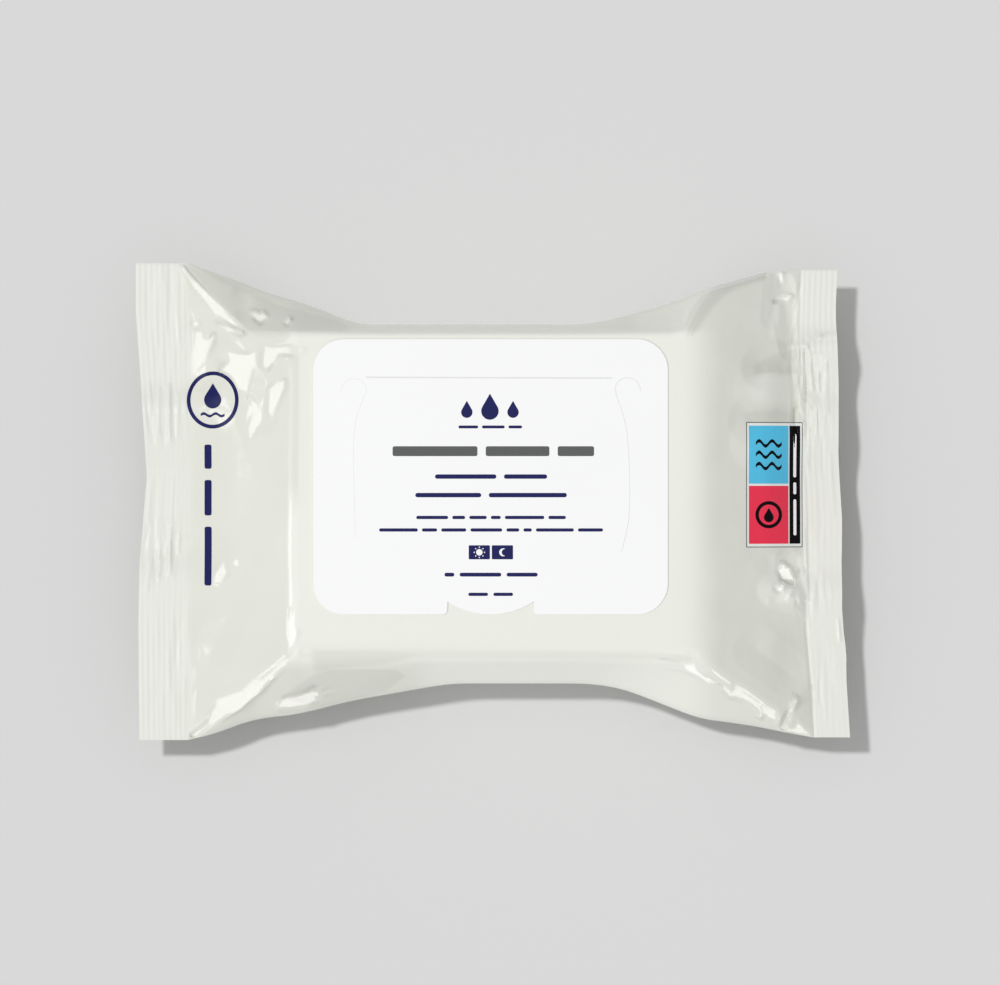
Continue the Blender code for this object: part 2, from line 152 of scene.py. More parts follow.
# How finely the film is drawn
CRIMP_STEP = 0.00029
SLOPE_STEP = 0.00042
SHOULDER_STEPS = 10
SHOULDER_LEAST = 0.0020
FINE_TOP_END = -0.0200
FINE_TOP_STEPS = 34
TOP_STEPS = 20
PANEL_STEPS = 92
SIDE_STEPS = 24
UNDER_STEPS = 14
UNDER_SIDE_STEPS = 6
SHARP_FROM_DEG = 50

# Flat facets of the crumpled film, which catch the light: for each slope along X and along Y, the facets
# that have it, by their corners on X, Y in millimetres
FACETS = {
    (0.384, -0.03): [
        [(-82.5, 62.2), (-80.4, 59.6), (-77.8, 56.9), (-74.8, 53.9), (-72.6, 51.6), (-70.3, 49.0),
         (-67.9, 46.8), (-65.9, 44.8), (-66.9, 44.8), (-68.6, 46.6), (-71.6, 48.6), (-74.6, 51.2),
         (-77.5, 54.5), (-79.9, 57.5), (-82.6, 61.7)],
        [(-73.1, 47.0), (-69.6, 45.8), (-66.6, 44.7), (-66.7, 44.3), (-69.8, 45.2)],
        [(-60.4, 40.7), (-57.1, 40.5), (-51.8, 40.8), (-50.2, 40.0), (-52.1, 39.0), (-56.7, 39.0),
         (-58.4, 36.7), (-59.7, 35.1), (-61.0, 35.7)],
        [(-72.2, 35.1), (-69.9, 37.0), (-68.9, 39.2), (-65.0, 38.7), (-62.7, 39.3), (-63.7, 37.4),
         (-64.0, 33.7), (-65.0, 29.4), (-67.3, 29.8), (-68.6, 32.4), (-69.6, 33.7)],
        [(-79.2, 45.6), (-77.9, 45.6), (-77.0, 42.0), (-74.9, 43.9), (-74.1, 44.5), (-74.0, 43.0),
         (-74.9, 40.7), (-76.5, 37.7), (-79.8, 34.4), (-80.3, 34.7), (-79.3, 39.3)],
        [(-79.6, 47.5), (-78.3, 47.8), (-78.4, 46.4), (-79.3, 46.3)],
        [(-59.2, 29.8), (-57.1, 31.1), (-55.1, 32.1), (-55.1, 30.1), (-56.4, 27.1), (-57.6, 24.8),
         (-58.4, 22.2), (-59.4, 23.8)],
        [(-64.6, 27.5), (-63.0, 26.1), (-62.0, 23.8), (-62.2, 21.2), (-63.0, 18.5), (-64.0, 16.9),
         (-64.5, 18.5), (-64.0, 21.8), (-62.8, 22.8), (-63.3, 25.2)],
        [(-64.0, 50.2), (-62.7, 50.2), (-62.2, 49.2), (-61.0, 50.1), (-60.0, 48.9), (-61.4, 47.3),
         (-62.7, 48.2)],
        [(-54.9, 47.3), (-54.1, 48.6), (-53.9, 48.2), (-54.2, 46.9)],
        [(-74.4, -22.0), (-73.5, -18.7), (-71.4, -16.1), (-70.6, -19.1), (-72.3, -21.2)],
        [(-68.9, -15.9), (-67.5, -15.7), (-67.4, -16.5), (-68.7, -16.8)],
        [(-53.3, -28.8), (-53.0, -32.0), (-52.0, -34.6), (-52.6, -37.0), (-53.9, -39.9), (-53.8, -37.6),
         (-54.7, -35.4), (-54.3, -33.4), (-53.7, -31.6)],
    ],
    (0.393, 0.275): [
        [(-75.7, -58.9), (-74.8, -55.9), (-72.7, -52.7), (-70.1, -51.6), (-66.3, -50.6), (-62.9, -48.1),
         (-60.0, -46.6), (-57.0, -43.6), (-54.1, -40.9), (-51.5, -40.0), (-53.6, -42.2), (-57.2, -45.5),
         (-60.0, -48.3), (-61.8, -50.3), (-64.5, -52.4), (-67.1, -54.8), (-69.8, -56.4), (-72.4, -57.9),
         (-75.0, -59.2), (-79.0, -62.2), (-79.9, -62.2)],
    ],
    (-0.22, 0.45): [
        [(-57.0, -54.1), (-54.9, -52.1), (-50.3, -51.1), (-47.0, -49.3), (-46.3, -51.9), (-49.0, -54.6),
         (-56.8, -54.8)],
        [(-45.2, -51.3), (-44.8, -50.7), (-43.3, -50.1), (-43.4, -50.6)],
    ],
    (-0.25, 0.43): [
        [(46.8, -42.4), (51.3, -41.9), (52.6, -40.4), (53.3, -41.9), (54.3, -42.8), (53.9, -44.1),
         (55.0, -45.4), (59.1, -48.2), (60.2, -49.1), (55.8, -47.1), (53.2, -45.6), (49.1, -43.7)],
        [(60.2, -48.9), (61.7, -49.3), (63.2, -50.6), (64.0, -49.1), (65.8, -50.0), (67.3, -51.3),
         (69.9, -52.9), (72.5, -54.5), (71.8, -54.7), (68.8, -53.4), (65.1, -52.3), (62.8, -51.5)],
        [(70.5, -56.9), (71.8, -55.5), (72.5, -54.5), (74.8, -55.6), (74.9, -57.7), (73.6, -57.9),
         (72.9, -56.4), (71.0, -57.3)],
        [(76.6, -60.5), (80.0, -60.1), (81.3, -58.6), (83.3, -61.6), (81.5, -61.2)],
        [(80.5, -52.4), (80.8, -52.8), (77.0, -60.2), (76.5, -60.0)],
        [(75.7, -18.4), (77.0, -16.9), (78.7, -17.9), (80.0, -21.0), (79.3, -22.0), (76.7, -20.8)],
        [(74.8, -23.1), (77.0, -22.2), (76.2, -24.0)],
        [(74.7, 53.2), (75.6, 54.2), (77.0, 54.7), (79.3, 54.5), (78.5, 53.6), (76.4, 53.5)],
        [(76.1, 60.4), (76.6, 60.6), (76.8, 59.0), (76.4, 57.6), (76.1, 58.5)],
    ],
}

# Where a facet begins and where it is whole, in metres inside its outline, and below 0 outside it
FACET_RIM = (-0.0010, -0.0002)

# Narrow folds in the crimped ends: both ends of each on X, Y, its height (below 0 for a groove) and half
# its width, in millimetres
SEAL_FOLDS = [
    ((81.8, 57.8), (80.5, 51.8), -0.3, 0.6),
    ((80.5, 51.8), (80.0, 44.2), -0.3, 0.6),
    ((79.1, 41.3), (83.1, 41.3), 0.57, 0.9),
    ((83.1, 41.3), (87.0, 43.7), 0.65, 0.9),
    ((87.0, 43.7), (91.5, 44.2), 0.57, 0.9),
    ((81.2, 40.5), (81.7, 33.6), 0.49, 0.7),
    ((82.8, 40.5), (83.5, 28.5), -0.42, 0.6),
    ((84.1, 39.9), (85.0, 29.9), 0.49, 0.65),
    ((85.7, 38.1), (86.2, 32.2), -0.27, 0.5),
    ((86.6, 33.8), (86.8, 29.3), 0.38, 0.6),
    ((88.6, 36.8), (88.8, 23.5), 0.49, 0.9),
    ((80.7, 25.6), (82.5, 21.9), -0.46, 0.8),
    ((82.3, 26.9), (84.6, 24.8), 0.38, 0.7),
    ((83.1, 20.6), (83.9, 8.4), 0.38, 0.7),
    ((85.2, 17.4), (85.7, 0.4), 0.27, 0.6),
    ((87.6, 16.3), (87.8, 8.4), -0.23, 0.6),
    ((89.7, 12.3), (90.2, 0.4), 0.3, 0.7),
    ((83.1, 0.4), (83.3, -17.1), 0.38, 0.6),
    ((82.3, -18.2), (78.5, -25.3), 0.57, 0.9),
    ((78.5, -25.3), (83.6, -26.1), 0.49, 0.8),
    ((80.4, -26.1), (81.7, -28.3), -0.46, 0.7),
    ((83.2, -32.2), (84.6, -49.1), -0.3, 0.6),
    ((84.6, -49.1), (85.4, -62.5), -0.3, 0.6),
    ((86.8, -47.6), (87.0, -53.5), -0.27, 0.5),
    ((91.8, -31.4), (92.3, -37.0), 0.38, 0.7),
    ((-88.8, 30.1), (-88.9, 18.2), 0.23, 0.7),
    ((-86.2, 30.6), (-86.2, 17.1), 0.28, 0.8),
    ((-83.7, 28.3), (-83.9, 17.4), 0.23, 0.7),
    ((-91.3, 31.2), (-91.0, 23.2), 0.21, 0.6),
    ((-91.7, -2.3), (-91.5, -6.5), 0.3, 0.7),
    ((-87.0, -5.4), (-87.2, -15.5), -0.25, 0.6),
    ((-85.8, -7.0), (-86.0, -19.2), 0.28, 0.7),
    ((-84.9, -1.2), (-84.8, -5.4), -0.16, 0.5),
    ((-83.5, -9.2), (-83.7, -13.4), 0.3, 0.7),
    ((-89.4, -12.9), (-89.6, -18.2), -0.18, 0.5),
    ((-88.4, -15.0), (-88.9, -20.3), 0.28, 0.7),
    ((-91.0, -15.5), (-92.1, -23.5), 0.18, 0.8),
]

# Patches of painted shade on the film, where it should look darker in dents, creases and facets turned from
# the light: the width of the soft edge in millimetres, how grey it is, and the corners on X, Y. Below 0 it is
# painted light, where the film should look lighter
PAINTED_SHADE_AND_LIGHT = [
    (0.5, 0.3, [
        (-46.4, -39.4), (-24.7, -38.9), (7.2, -39.1), (39.0, -39.7), (52.3, -40.7), (52.3, -42.1),
        (28.4, -41.5), (1.9, -41.3), (-24.7, -41.3), (-51.2, -41.0),
    ]),
    (0.5, 0.55, [
        (-81.2, 62.5), (-73.5, 59.8), (-67.1, 56.9), (-61.3, 54.3), (-56.5, 51.9), (-51.2, 50.6),
        (-45.4, 49.0), (-40.6, 47.6), (-37.4, 45.8), (-39.3, 45.0), (-51.2, 45.0), (-65.0, 45.2),
        (-68.2, 48.7), (-71.9, 52.7), (-76.4, 56.9),
    ]),
    (1.0, 1.0, [
        (50.7, 45.0), (52.3, 49.5), (54.9, 53.5), (57.8, 56.1), (60.8, 58.0), (65.5, 59.6), (73.0, 61.2),
        (73.0, 59.0), (65.0, 56.7), (60.8, 54.3), (57.6, 50.8), (54.9, 46.6), (53.3, 44.4),
    ]),
    (0.3, 0.6, [
        (-43.7, -44.4), (-25.7, -44.4), (-23.1, -46.3), (-28.9, -50.6), (-45.6, -54.8), (-56.5, -52.1),
        (-48.2, -46.3),
    ]),
    (0.6, 0.55, [
        (69.0, 36.0), (71.9, 37.8), (76.2, 39.4), (80.7, 40.5), (81.2, 37.0), (81.2, 33.8), (74.8, 34.1),
        (69.3, 33.8),
    ]),
    (0.9, 0.6, [
        (66.9, 23.2), (69.8, 24.3), (75.6, 24.5), (78.8, 23.7), (80.4, 22.2), (80.1, 20.3), (66.9, 20.3),
    ]),
    (0.6, 0.5, [
        (-54.1, 41.3), (-51.2, 41.3), (-51.5, 4.4), (-54.1, 4.4),
    ]),
    (1.5, -0.8, [
        (67.7, 32.8), (72.2, 33.8), (80.7, 33.3), (81.2, 27.5), (79.3, 25.6), (73.5, 25.9), (68.7, 26.9),
        (66.9, 29.6),
    ]),
    (0.8, -0.5, [
        (39.0, 49.8), (52.3, 54.3), (54.7, 54.5), (52.0, 50.3), (50.2, 45.5), (39.0, 45.5),
    ]),
    (1.2, -1.0, [
        (71.9, 60.4), (75.1, 63.6), (80.7, 63.6), (80.7, 44.2), (78.8, 42.1), (74.0, 43.4), (71.4, 48.7),
    ]),
    (1.5, -1.0, [
        (73.5, -14.2), (83.1, -14.2), (83.1, -26.7), (75.1, -26.7),
    ]),
    (0.8, 0.5, [
        (-48.0, -39.1), (-28.7, -39.1), (-16.7, -40.2), (-28.7, -42.9), (-40.6, -44.2), (-47.2, -45.2),
    ]),
]

# How strongly the ribs of the crimped ends show along them: shares at places on Y in millimetres
RIB_SHARE = {
    -1: [(-63, 0.9), (-38, 0.8), (-26, 0.3), (0, 0.2), (20, 0.3), (32, 0.6), (63, 0.9)],
    1: [(-63, 0.3), (-30, 0.15), (0, 0.3), (25, 0.3), (42, 0.7), (63, 0.8)],
}

# Where the crimped ends are crumpled: the middle and the reach along X and Y of each place, in
# millimetres, and the slope that its pleats reach
PLEATED = [
    (-88.5, 23.0, 7.5, 9.0, 0.50),
    (-88.5, -11.5, 6.5, 11.0, 0.50),
    (-86.0, -45.0, 9.0, 22.0, 0.20),
    (-86.0, 48.0, 9.0, 18.0, 0.20),
    (87.0, 27.0, 6.5, 17.5, 1.20),
    (87.5, -2.0, 5.0, 14.0, 0.45),
    (86.5, -24.0, 6.0, 8.0, 0.70),
    (88.0, -47.0, 6.0, 16.0, 0.20),
]
PLEAT_WIDTH = 0.0013
PLEAT_LENGTH = 0.011
PLEAT_FADE = (0.55, 1.15)
PLEAT_SEED = 24

# Shallow pillows of slack film: the middle and the reach along X and Y, and the height, in millimetres
BULGES = [
    (73.5, 30.0, 10.0, 6.8, 0.6),
    (72.0, 15.6, 9.5, 8.4, 0.8),
    (79.5, 50.5, 4.0, 8.6, 0.35),
]

# How much farther out the cut edge of each end reaches than in the model: places on Y and lengths, in
# millimetres
CUT_EDGE = {
    -1: [(0.0, 0.0)],
    1: [
        (-47.6, 0.0), (-44.5, 0.24), (-41.3, 0.56), (-38.1, 0.56), (-31.8, 0.26), (-28.6, 0.1),
        (-22.2, 0.34), (-15.9, 0.48), (-12.7, 0.72), (-9.5, 0.85), (-6.4, 1.0), (-3.2, 1.06), (0.0, 0.93),
        (12.7, 0.42), (22.2, 0.58), (28.6, 0.74), (31.8, 0.74), (41.3, 0.45), (44.5, 0.35), (52.0, 0.0),
    ],
}

# The line pressed along the root of each crimped end, and the small crumples of the end slopes: their
# spacing, their steepest slope and the seed of their pattern
CRIMP_LINE_DEPTH = {-1: 0.0, 1: 0.0002}
CRIMP_LINE_PAST = 0.0004
CRIMP_LINE_REACH = 0.0003
CRUMPLES = [(0.017, 0.05, 4), (0.007, 0.035, 14)]

# Where the relief of the end slopes sets in past the edge of the flat top, and where it has faded before
# the crimped end, in metres. The crumples keep a share of their height there
CREASES_WHOLE = 0.004
CREASES_FADE = 0.002
CRUMPLES_RISE = (-0.001, 0.006)
CRUMPLES_FADE = 0.003
CRUMPLES_KEEP = 0.2

# Where the ribs and the look of the crimped ends set in past their roots, and the matt band along a root
RIBS_RISE = (0.0002, 0.0010)
CRIMP_LOOK_RISE = (-0.0001, 0.0006)
ROOT_MATT = 0.9
ROOT_BEFORE = 0.0004
ROOT_REACH = 0.0010

# The film's colours and how rough it is where it is glossy and where it is matt
# The backed colour is also the painted light of the front side's waist and of the lighter patches
FILM_BACKED_AND_PAINTED_LIGHT = (0.84, 0.85, 0.785)
FILM_FREE = ((0.715, 0.720, 0.650), (0.795, 0.80, 0.735))
FILM_CRIMPED = (0.795, 0.802, 0.745)
# The grey of the painted shade
FILM_PAINTED_SHADE = (0.640, 0.645, 0.590)
FILM_IOR = 1.34
FILM_GLOSSY = 0.15
FILM_MATT = 0.42
CRIMP_MATT = 0.42

# The label's own colours, and the colour of the opening's line, which is as smooth as the label: a grey that
# is painted shade, standing in for the shaded side of the raised line
LABEL_WHITES = ((0.93, 0.932, 0.935), (0.95, 0.952, 0.955))
LABEL_ROUGHNESS = 0.42
LABEL_IOR = 1.46
OPENING_PAINTED_SHADE = (0.755, 0.755, 0.760)

# The inks: colour, roughness and index of refraction. Then how high each layer of print lies on the label
# or the film, in steps, and how finely the film's print is cut to follow it, in millimetres
INKS = {
    "navy": ((0.008, 0.010, 0.088), 0.35, 1.25),
    "grey": ((0.105, 0.110, 0.110), 0.4, 1.25),
    "white": ((0.90, 0.90, 0.90), 0.4, 1.25),
    "outline": ((0.06, 0.06, 0.06), 0.35, 1.25),
    "border": ((0.80, 0.82, 0.80), 0.35, 1.25),
    "blue": ((0.093, 0.527, 0.791), 0.3, 1.25),
    "red": ((0.83, 0.038, 0.085), 0.3, 1.25),
    "dark": ((0.003, 0.003, 0.004), 0.3, 1.12),
}
LIFT_STEP = 1e-5
LABEL_LIFTS = {"navy": 2, "grey": 2, "white": 4}
FILM_LIFTS = {"navy": 6, "outline": 5, "border": 5, "blue": 8, "red": 8, "dark": 11, "pale": 14}
FILM_PRINT_GRID = 0.5

# Stretches of the film along X or along Y in metres: from, its soft edge, to, its soft edge. Wipes lie behind
# it within the first, where it is also within the second or within the next two together; the next two
# together also mark the front side's waist, which takes the lighter backed colour as painted light. Over the
# wipes it is matt within each of the last two
BACKED_ALONG = (-0.0535, 0.0016, 0.0560, 0.0050)
BACKED_ACROSS = (-0.0430, 0.0030, 0.0452, 0.0010)
BACKED_WAIST_PAINTED_LIGHT = (-0.0190, 0.0060, 0.0600, 0.0150)
FRONT_SIDE = (-0.1000, 0.0010, -0.0200, 0.0050)
REAR_HALF = (0.0010, 0.0030, 0.0500, 0.0010)
FRONT_CREST = (-0.0430, 0.0008, -0.0385, 0.0010)

# The camera, straight above the pack: how much it sees across, its distance and its aim, in metres
PICTURE_WIDTH = 0.26536
CAMERA_DISTANCE = 2.4
CAMERA_AIM = (0.00186, 0.00239, 0.0185)
SENSOR_WIDTH_MM = 36.0

# The soft lights: azimuth and polar angle, width and height as seen from the pack, in degrees, and radiance
SOFTBOXES = {
    "softbox_left": (176, 42, 17, 13.5, 8.5),
    "softbox_front_left": (215, 51, 12, 12, 9.0),
    "softbox_front": (298, 53, 14, 10, 12.0),
    "softbox_rear": (90, 75, 40, 20, 1.2),
    "softbox_fill": (150, 18, 40, 36, 1.2),
}
SOFTBOX_DISTANCE = 4.0
SOFTBOX_RAISED = 0.02

# The light that lays the shadow on the floor, the floor, the grey that is seen past it, and the glow of the
# surroundings
SUN_FROM = (-0.44, 0.34, 1.0)
SUN_STRENGTH = 1.575
SUN_SPREAD_DEG = 5.0
FLOOR_GREY = (0.74, 0.74, 0.74)
FLOOR_ROUGHNESS = 0.9
FLOOR_HALF = 4.0
BACKDROP_GREY = (0.694, 0.694, 0.694)
GLOW = 0.50


def metres(points):
    return [(x / 1000, y / 1000) for x, y in points]


def placed(name, data):
    """A new object in the scene."""
    obj = bpy.data.objects.new(name, data)
    bpy.context.scene.collection.objects.link(obj)
    return obj


# The camera


def build_camera():
    """A long lens straight above the pack, which fills the picture as it does in the photograph."""
    data = bpy.data.cameras.new("camera")
    data.sensor_width = SENSOR_WIDTH_MM
    data.lens = SENSOR_WIDTH_MM * CAMERA_DISTANCE / PICTURE_WIDTH
    camera = placed("camera", data)
    x, y, z = CAMERA_AIM
    camera.location = (x, y, z + CAMERA_DISTANCE)
    bpy.context.scene.camera = camera


# The shape of the film


def end_of(x):
    return -1 if x < 0 else 1


def height_on(line, x):
    """The height at x of a line of (x, height) points."""
    return np.interp(x, *zip(*line))


def eased(line, x, reach):
    """The height at x of a line of (x, height) points, its corners rounded by averaging over the reach."""
    reach = min(reach, max(CRIMP_START[end_of(x)] - abs(x), 0.0))
    offsets = np.linspace(-reach, reach, 25)
    return float(height_on(line, x + offsets).mean())


def ramp(x, start, end):
    """0 at start, 1 at end, with a smooth step between, for a number or an array."""
    t = np.clip((x - start) / (end - start), 0.0, 1.0)
    return t * t * (3.0 - 2.0 * t)


def left_to_right(run):
    return [(-x, y) for x, y in run[-1]] + [(x, y) for x, y in run[1][::-1]]


def side_line(side):
    """The outline of one long side, seen from above: a straight waist and two flared ends."""
    waist = WAIST_REACH[side]
    run = {}
    for end in (-1, 1):
        corner = CORNERS[side, end]
        widening = HALF_FLAT - corner["tuck"] - waist
        flare = corner["flare"][::-1]
        run[end] = [(CRIMP_START[end] - back, waist + share * widening) for back, share in flare]
    return left_to_right(run)


def fold_line(side):
    """The fold along the top edge of one long side, which runs out to the flared side at both ends."""
    outline = side_line(side)
    run = {}
    for end in (-1, 1):
        corner = CORNERS[side, end]
        meets = CRIMP_START[end] - corner["fold_back"]
        leaves = TOP_REACH[end] + corner["fold_past"]
        outer = [CRIMP_START[end], (CRIMP_START[end] + meets) / 2, meets]
        run[end] = [(x, eased(outline, end * x, FLARE_EASE) - CRIMP_EDGE_TAPER) for x in outer]
        met = run[end][-1][1]
        for t in FOLD_BOW_AT:
            x = meets + (leaves - meets) * t
            bowed = met + (TOP_REACH[side] - met) * t + corner["fold_bow"] * 4 * t * (1 - t)
            run[end].append((x, min(bowed, eased(outline, end * x, FLARE_EASE) - CRIMP_EDGE_TAPER)))
        run[end].append((leaves, TOP_REACH[side]))
    return left_to_right(run)


SIDE_LINES = {side: side_line(side) for side in ("rear", "front")}
FOLD_LINES = {side: fold_line(side) for side in ("rear", "front")}


def film_height(x, middle, reach, crimp_height, rounding):
    """Height of the upper or under film along the pack: level over the wipes, then out to the crimps."""
    line = [
        (-CRIMP_START[-1], crimp_height),
        (-reach[-1], middle),
        (reach[1], middle),
        (CRIMP_START[1], crimp_height),
    ]
    return eased(line, x, rounding)


def side_height(x):
    end = end_of(x)
    rise = float(ramp(abs(x), BASE_REACH[end], CRIMP_START[end]))
    return WAIST_HEIGHT + (CRIMP_HEIGHT - WAIST_HEIGHT) * rise


def base_reach(x, side):
    end = end_of(x)
    outer = eased(SIDE_LINES[side], x, FLARE_EASE) - CRIMP_EDGE_TAPER
    spread = float(ramp(abs(x), BASE_REACH[end] * 0.7, CRIMP_START[end]))
    return BASE_REACH[side] + (outer - BASE_REACH[side]) * spread


def corner_curve(before, corner, after, round_by, low, high, count):
    """Points of the rounding at a corner of the section, between two shares of its length."""
    back, ahead = before - corner, after - corner
    start = corner + back.normalized() * min(round_by, back.length * 0.45)
    end = corner + ahead.normalized() * min(round_by, ahead.length * 0.45)
    points = []
    for i in range(count + 1):
        t = low + (high - low) * i / count
        points.append(start * (1 - t) ** 2 + corner * 2 * t * (1 - t) + end * t * t)
    return points


def between(a, b, count):
    """Points between two, both left out."""
    return [a.lerp(b, i / count) for i in range(1, count)]


def corner_past(before, widest, after, round_by):
    """The corner that has to be rounded for the curve to pass through the widest point."""
    back, ahead = before - widest, after - widest
    pull = back.normalized() * min(round_by, back.length * 0.45)
    pull += ahead.normalized() * min(round_by, ahead.length * 0.45)
    return widest - pull / 4


def seam_breaks():
    half, step, groove = SEAM_WIDTH / 2, SEAM_THICKNESS, SEAM_GROOVE
    ends = (half + groove, half + groove / 2, half + step, half, -half, -half - step, -half - groove)
    return [SEAM_OFFSET + y for y in ends]


def panel_points(rear, front, steps):
    """Points across a flat panel of film between its rear and front corners, both left out."""
    breaks = seam_breaks()
    across = list(np.linspace(rear.x, breaks[0], steps + 1)[1:-1])
    across += breaks
    across += list(np.linspace(breaks[-1], front.x, steps + 1)[1:-1])
    return [Vector((y, rear.y + (front.y - rear.y) * (y - rear.x) / (front.x - rear.x))) for y in across]


def half_section(sides, folds, others, rounds, panel_steps, side_steps):
    """One half of a section, from the middle of the rear side over its two folds to the front side."""
    first = corner_curve(others[0], sides[0], folds[0], WAIST_ROUND, 0.5, 1.0, 4)
    rear_curve = corner_curve(sides[0], folds[0], folds[1], rounds[0], 0.0, 1.0, 8)
    front_curve = corner_curve(folds[0], folds[1], sides[1], rounds[1], 0.0, 1.0, 8)
    last = corner_curve(folds[1], sides[1], others[1], WAIST_ROUND, 0.0, 0.5, 4)
    points = first + between(first[-1], rear_curve[0], side_steps) + rear_curve
    points += panel_points(rear_curve[-1], front_curve[0], panel_steps)
    return points + front_curve + between(front_curve[-1], last[0], side_steps) + last


def section(x):
    """The upper and the under half of the section at x, each as an array of Y, Z."""
    weld = CRIMP_THICKNESS / 2
    top = film_height(x, PACK_HEIGHT, TOP_REACH, CRIMP_HEIGHT + weld, TOP_ROUND[end_of(x)])
    base = film_height(x, 0.0, BASE_REACH, CRIMP_HEIGHT - weld, BASE_END_ROUND)
    side_keys, fold_keys, base_keys = [], [], []
    for side, sign in (("rear", 1), ("front", -1)):
        side_keys.append(Vector((sign * eased(SIDE_LINES[side], x, FLARE_EASE), side_height(x))))
        fold_keys.append(Vector((sign * eased(FOLD_LINES[side], x, TOP_ROUND[side]), top)))
        base_keys.append(Vector((sign * base_reach(x, side), base)))
    side_keys = [corner_past(*keys, WAIST_ROUND) for keys in zip(base_keys, side_keys, fold_keys)]
    rounds = (TOP_ROUND["rear"], TOP_ROUND["front"])
    over = half_section(side_keys, fold_keys, base_keys, rounds, PANEL_STEPS, SIDE_STEPS)
    rounds = (BASE_EDGE_ROUND, BASE_EDGE_ROUND)
    under = half_section(side_keys, base_keys, fold_keys, rounds, UNDER_STEPS, UNDER_SIDE_STEPS)
    return np.array([p[:] for p in over]), np.array([p[:] for p in under])


def stations():
    """Places along the pack where a section is drawn: close at the ribs and folds, wide over the wipes."""
    places = {}
    for end in (-1, 1):
        start, flat = CRIMP_START[end], TOP_REACH[end]
        count = round(CRIMP_LENGTH[end] / CRIMP_STEP)
        crimp = list(np.linspace(start + CRIMP_LENGTH[end], start, count + 1)[:-1])
        shoulder = max(TOP_ROUND[end], SHOULDER_LEAST)
        count = round((start - flat - shoulder) / SLOPE_STEP)
        slope = list(np.linspace(start, flat + shoulder, count + 1)[:-1])
        places[end] = crimp + slope + list(np.linspace(flat + shoulder, flat - shoulder, SHOULDER_STEPS + 1))
    middle = list(np.linspace(-places[-1][-1], FINE_TOP_END, FINE_TOP_STEPS + 1)[1:])
    middle += list(np.linspace(FINE_TOP_END, places[1][-1], TOP_STEPS + 1)[1:-1])
    return [-x for x in places[-1]] + middle + places[1][::-1]


def seam_relief(y, z):
    """The back seam, flush with the floor between two shallow grooves."""
    proud = np.minimum(z, SEAM_THICKNESS)
    off = np.abs(y - SEAM_OFFSET)
    in_groove = off < SEAM_WIDTH / 2 + SEAM_GROOVE - 1e-6
    on_seam = off <= SEAM_WIDTH / 2 + 1e-6
    return np.where(on_seam, -proud, np.where(in_groove, SEAM_THICKNESS - proud, 0.0))


def crimp_wave(end, across):
    """The rise and fall of the film along a crimped end."""
    total = np.zeros_like(across)
    for at, spread, rise in CRIMP_WAVES[end]:
        total += rise * np.exp(-(((across - at) / spread) ** 2))
    return total


def rib_height(end, x, y):
    """Rounded ribs pressed across the crimped ends."""
    into = np.maximum(np.abs(x) - CRIMP_START[end], 0.0)
    share = ramp(into, *RIBS_RISE) * height_on(RIB_SHARE[end], y * 1000)
    return -CRIMP_RIB_HEIGHT / 2 * np.cos(2 * math.pi * into / CRIMP_RIB_PITCH) * share


def on_slope(end, down, across):
    reach = TOP_REACH[end]
    return np.array((end * (reach + down * (CRIMP_START[end] - reach)), across * HALF_FLAT))


def off_line(x, y, start, finish):
    """How far each point is from the straight line between two others."""
    along = finish - start
    share = np.clip(((x - start[0]) * along[0] + (y - start[1]) * along[1]) / (along @ along), 0.0, 1.0)
    return np.hypot(x - start[0] - along[0] * share, y - start[1] - along[1] * share)


def tents(x, y, creases, end):
    """Rise of the film at creases, each a tent along a line with a slightly rounded crest."""
    rise = np.zeros_like(x)
    for start, finish, height, reach in creases:
        away = off_line(x, y, on_slope(end, *start), on_slope(end, *finish))
        away = np.sqrt(away**2 + CREASE_SOFTNESS**2)
        rise += height * np.maximum(0.0, 1.0 - away / reach)
    return rise


def envelope(x, y, seeds, curve):
    """The upper envelope of planes that touch a bowl at the seeds."""
    best = np.full_like(x, -1e9)
    for sx, sy in seeds:
        best = np.maximum(best, curve * (2 * x * sx + 2 * y * sy - sx * sx - sy * sy))
    return best


def crumple(x, y, spacing, tilt, seed):
    """Piecewise flat relief, like film that has been crumpled and smoothed: flat facets between sharp
    creases, about the spacing across, with slopes up to about the tilt."""
    rng = np.random.default_rng(seed)
    curve = tilt / (2 * spacing)
    low = (x.min() - spacing, y.min() - spacing)
    high = (x.max() + spacing, y.max() + spacing)
    count = int((high[0] - low[0]) * (high[1] - low[1]) / spacing**2)
    first = rng.uniform(low, high, (count, 2))
    second = rng.uniform(low, high, (count, 2))
    return envelope(x, y, first, curve) - envelope(x, y, second, curve)


def from_middle(x, y, cx, cy, reach_x, reach_y):
    """How far each point is from the middle of an oval: 0 there, and 1 on its edge."""
    return np.hypot((x * 1000 - cx) / reach_x, (y * 1000 - cy) / reach_y)


def bulges(x, y):
    """Shallow pillows of loose film, each with a crisp rim."""
    rise = np.zeros_like(x)
    for *oval_at, height in BULGES:
        rise = np.maximum(rise, height / 1000 * (1.0 - from_middle(x, y, *oval_at) ** 2))
    return rise


def pleats(x, y, seed):
    """Narrow pleats along the crimped ends, where the jaws have gathered the film."""
    stretch = PLEAT_LENGTH / PLEAT_WIDTH
    wide = crumple(x * stretch, y, PLEAT_LENGTH, 1.0 / stretch, seed)
    slope = np.zeros_like(x)
    for *oval_at, tilt in PLEATED:
        slope = np.maximum(slope, tilt * (1.0 - ramp(from_middle(x, y, *oval_at), *PLEAT_FADE)))
    return wide * slope


def seal_folds(x, y):
    """Narrow ridges and grooves where the crimped ends are gathered."""
    rise = np.zeros_like(x)
    for start, finish, height, half_width in SEAL_FOLDS:
        away = off_line(x, y, *(np.array(p) / 1000 for p in (start, finish)))
        rise += height / 1000 * np.maximum(0.0, 1.0 - away * 1000 / half_width)
    return rise


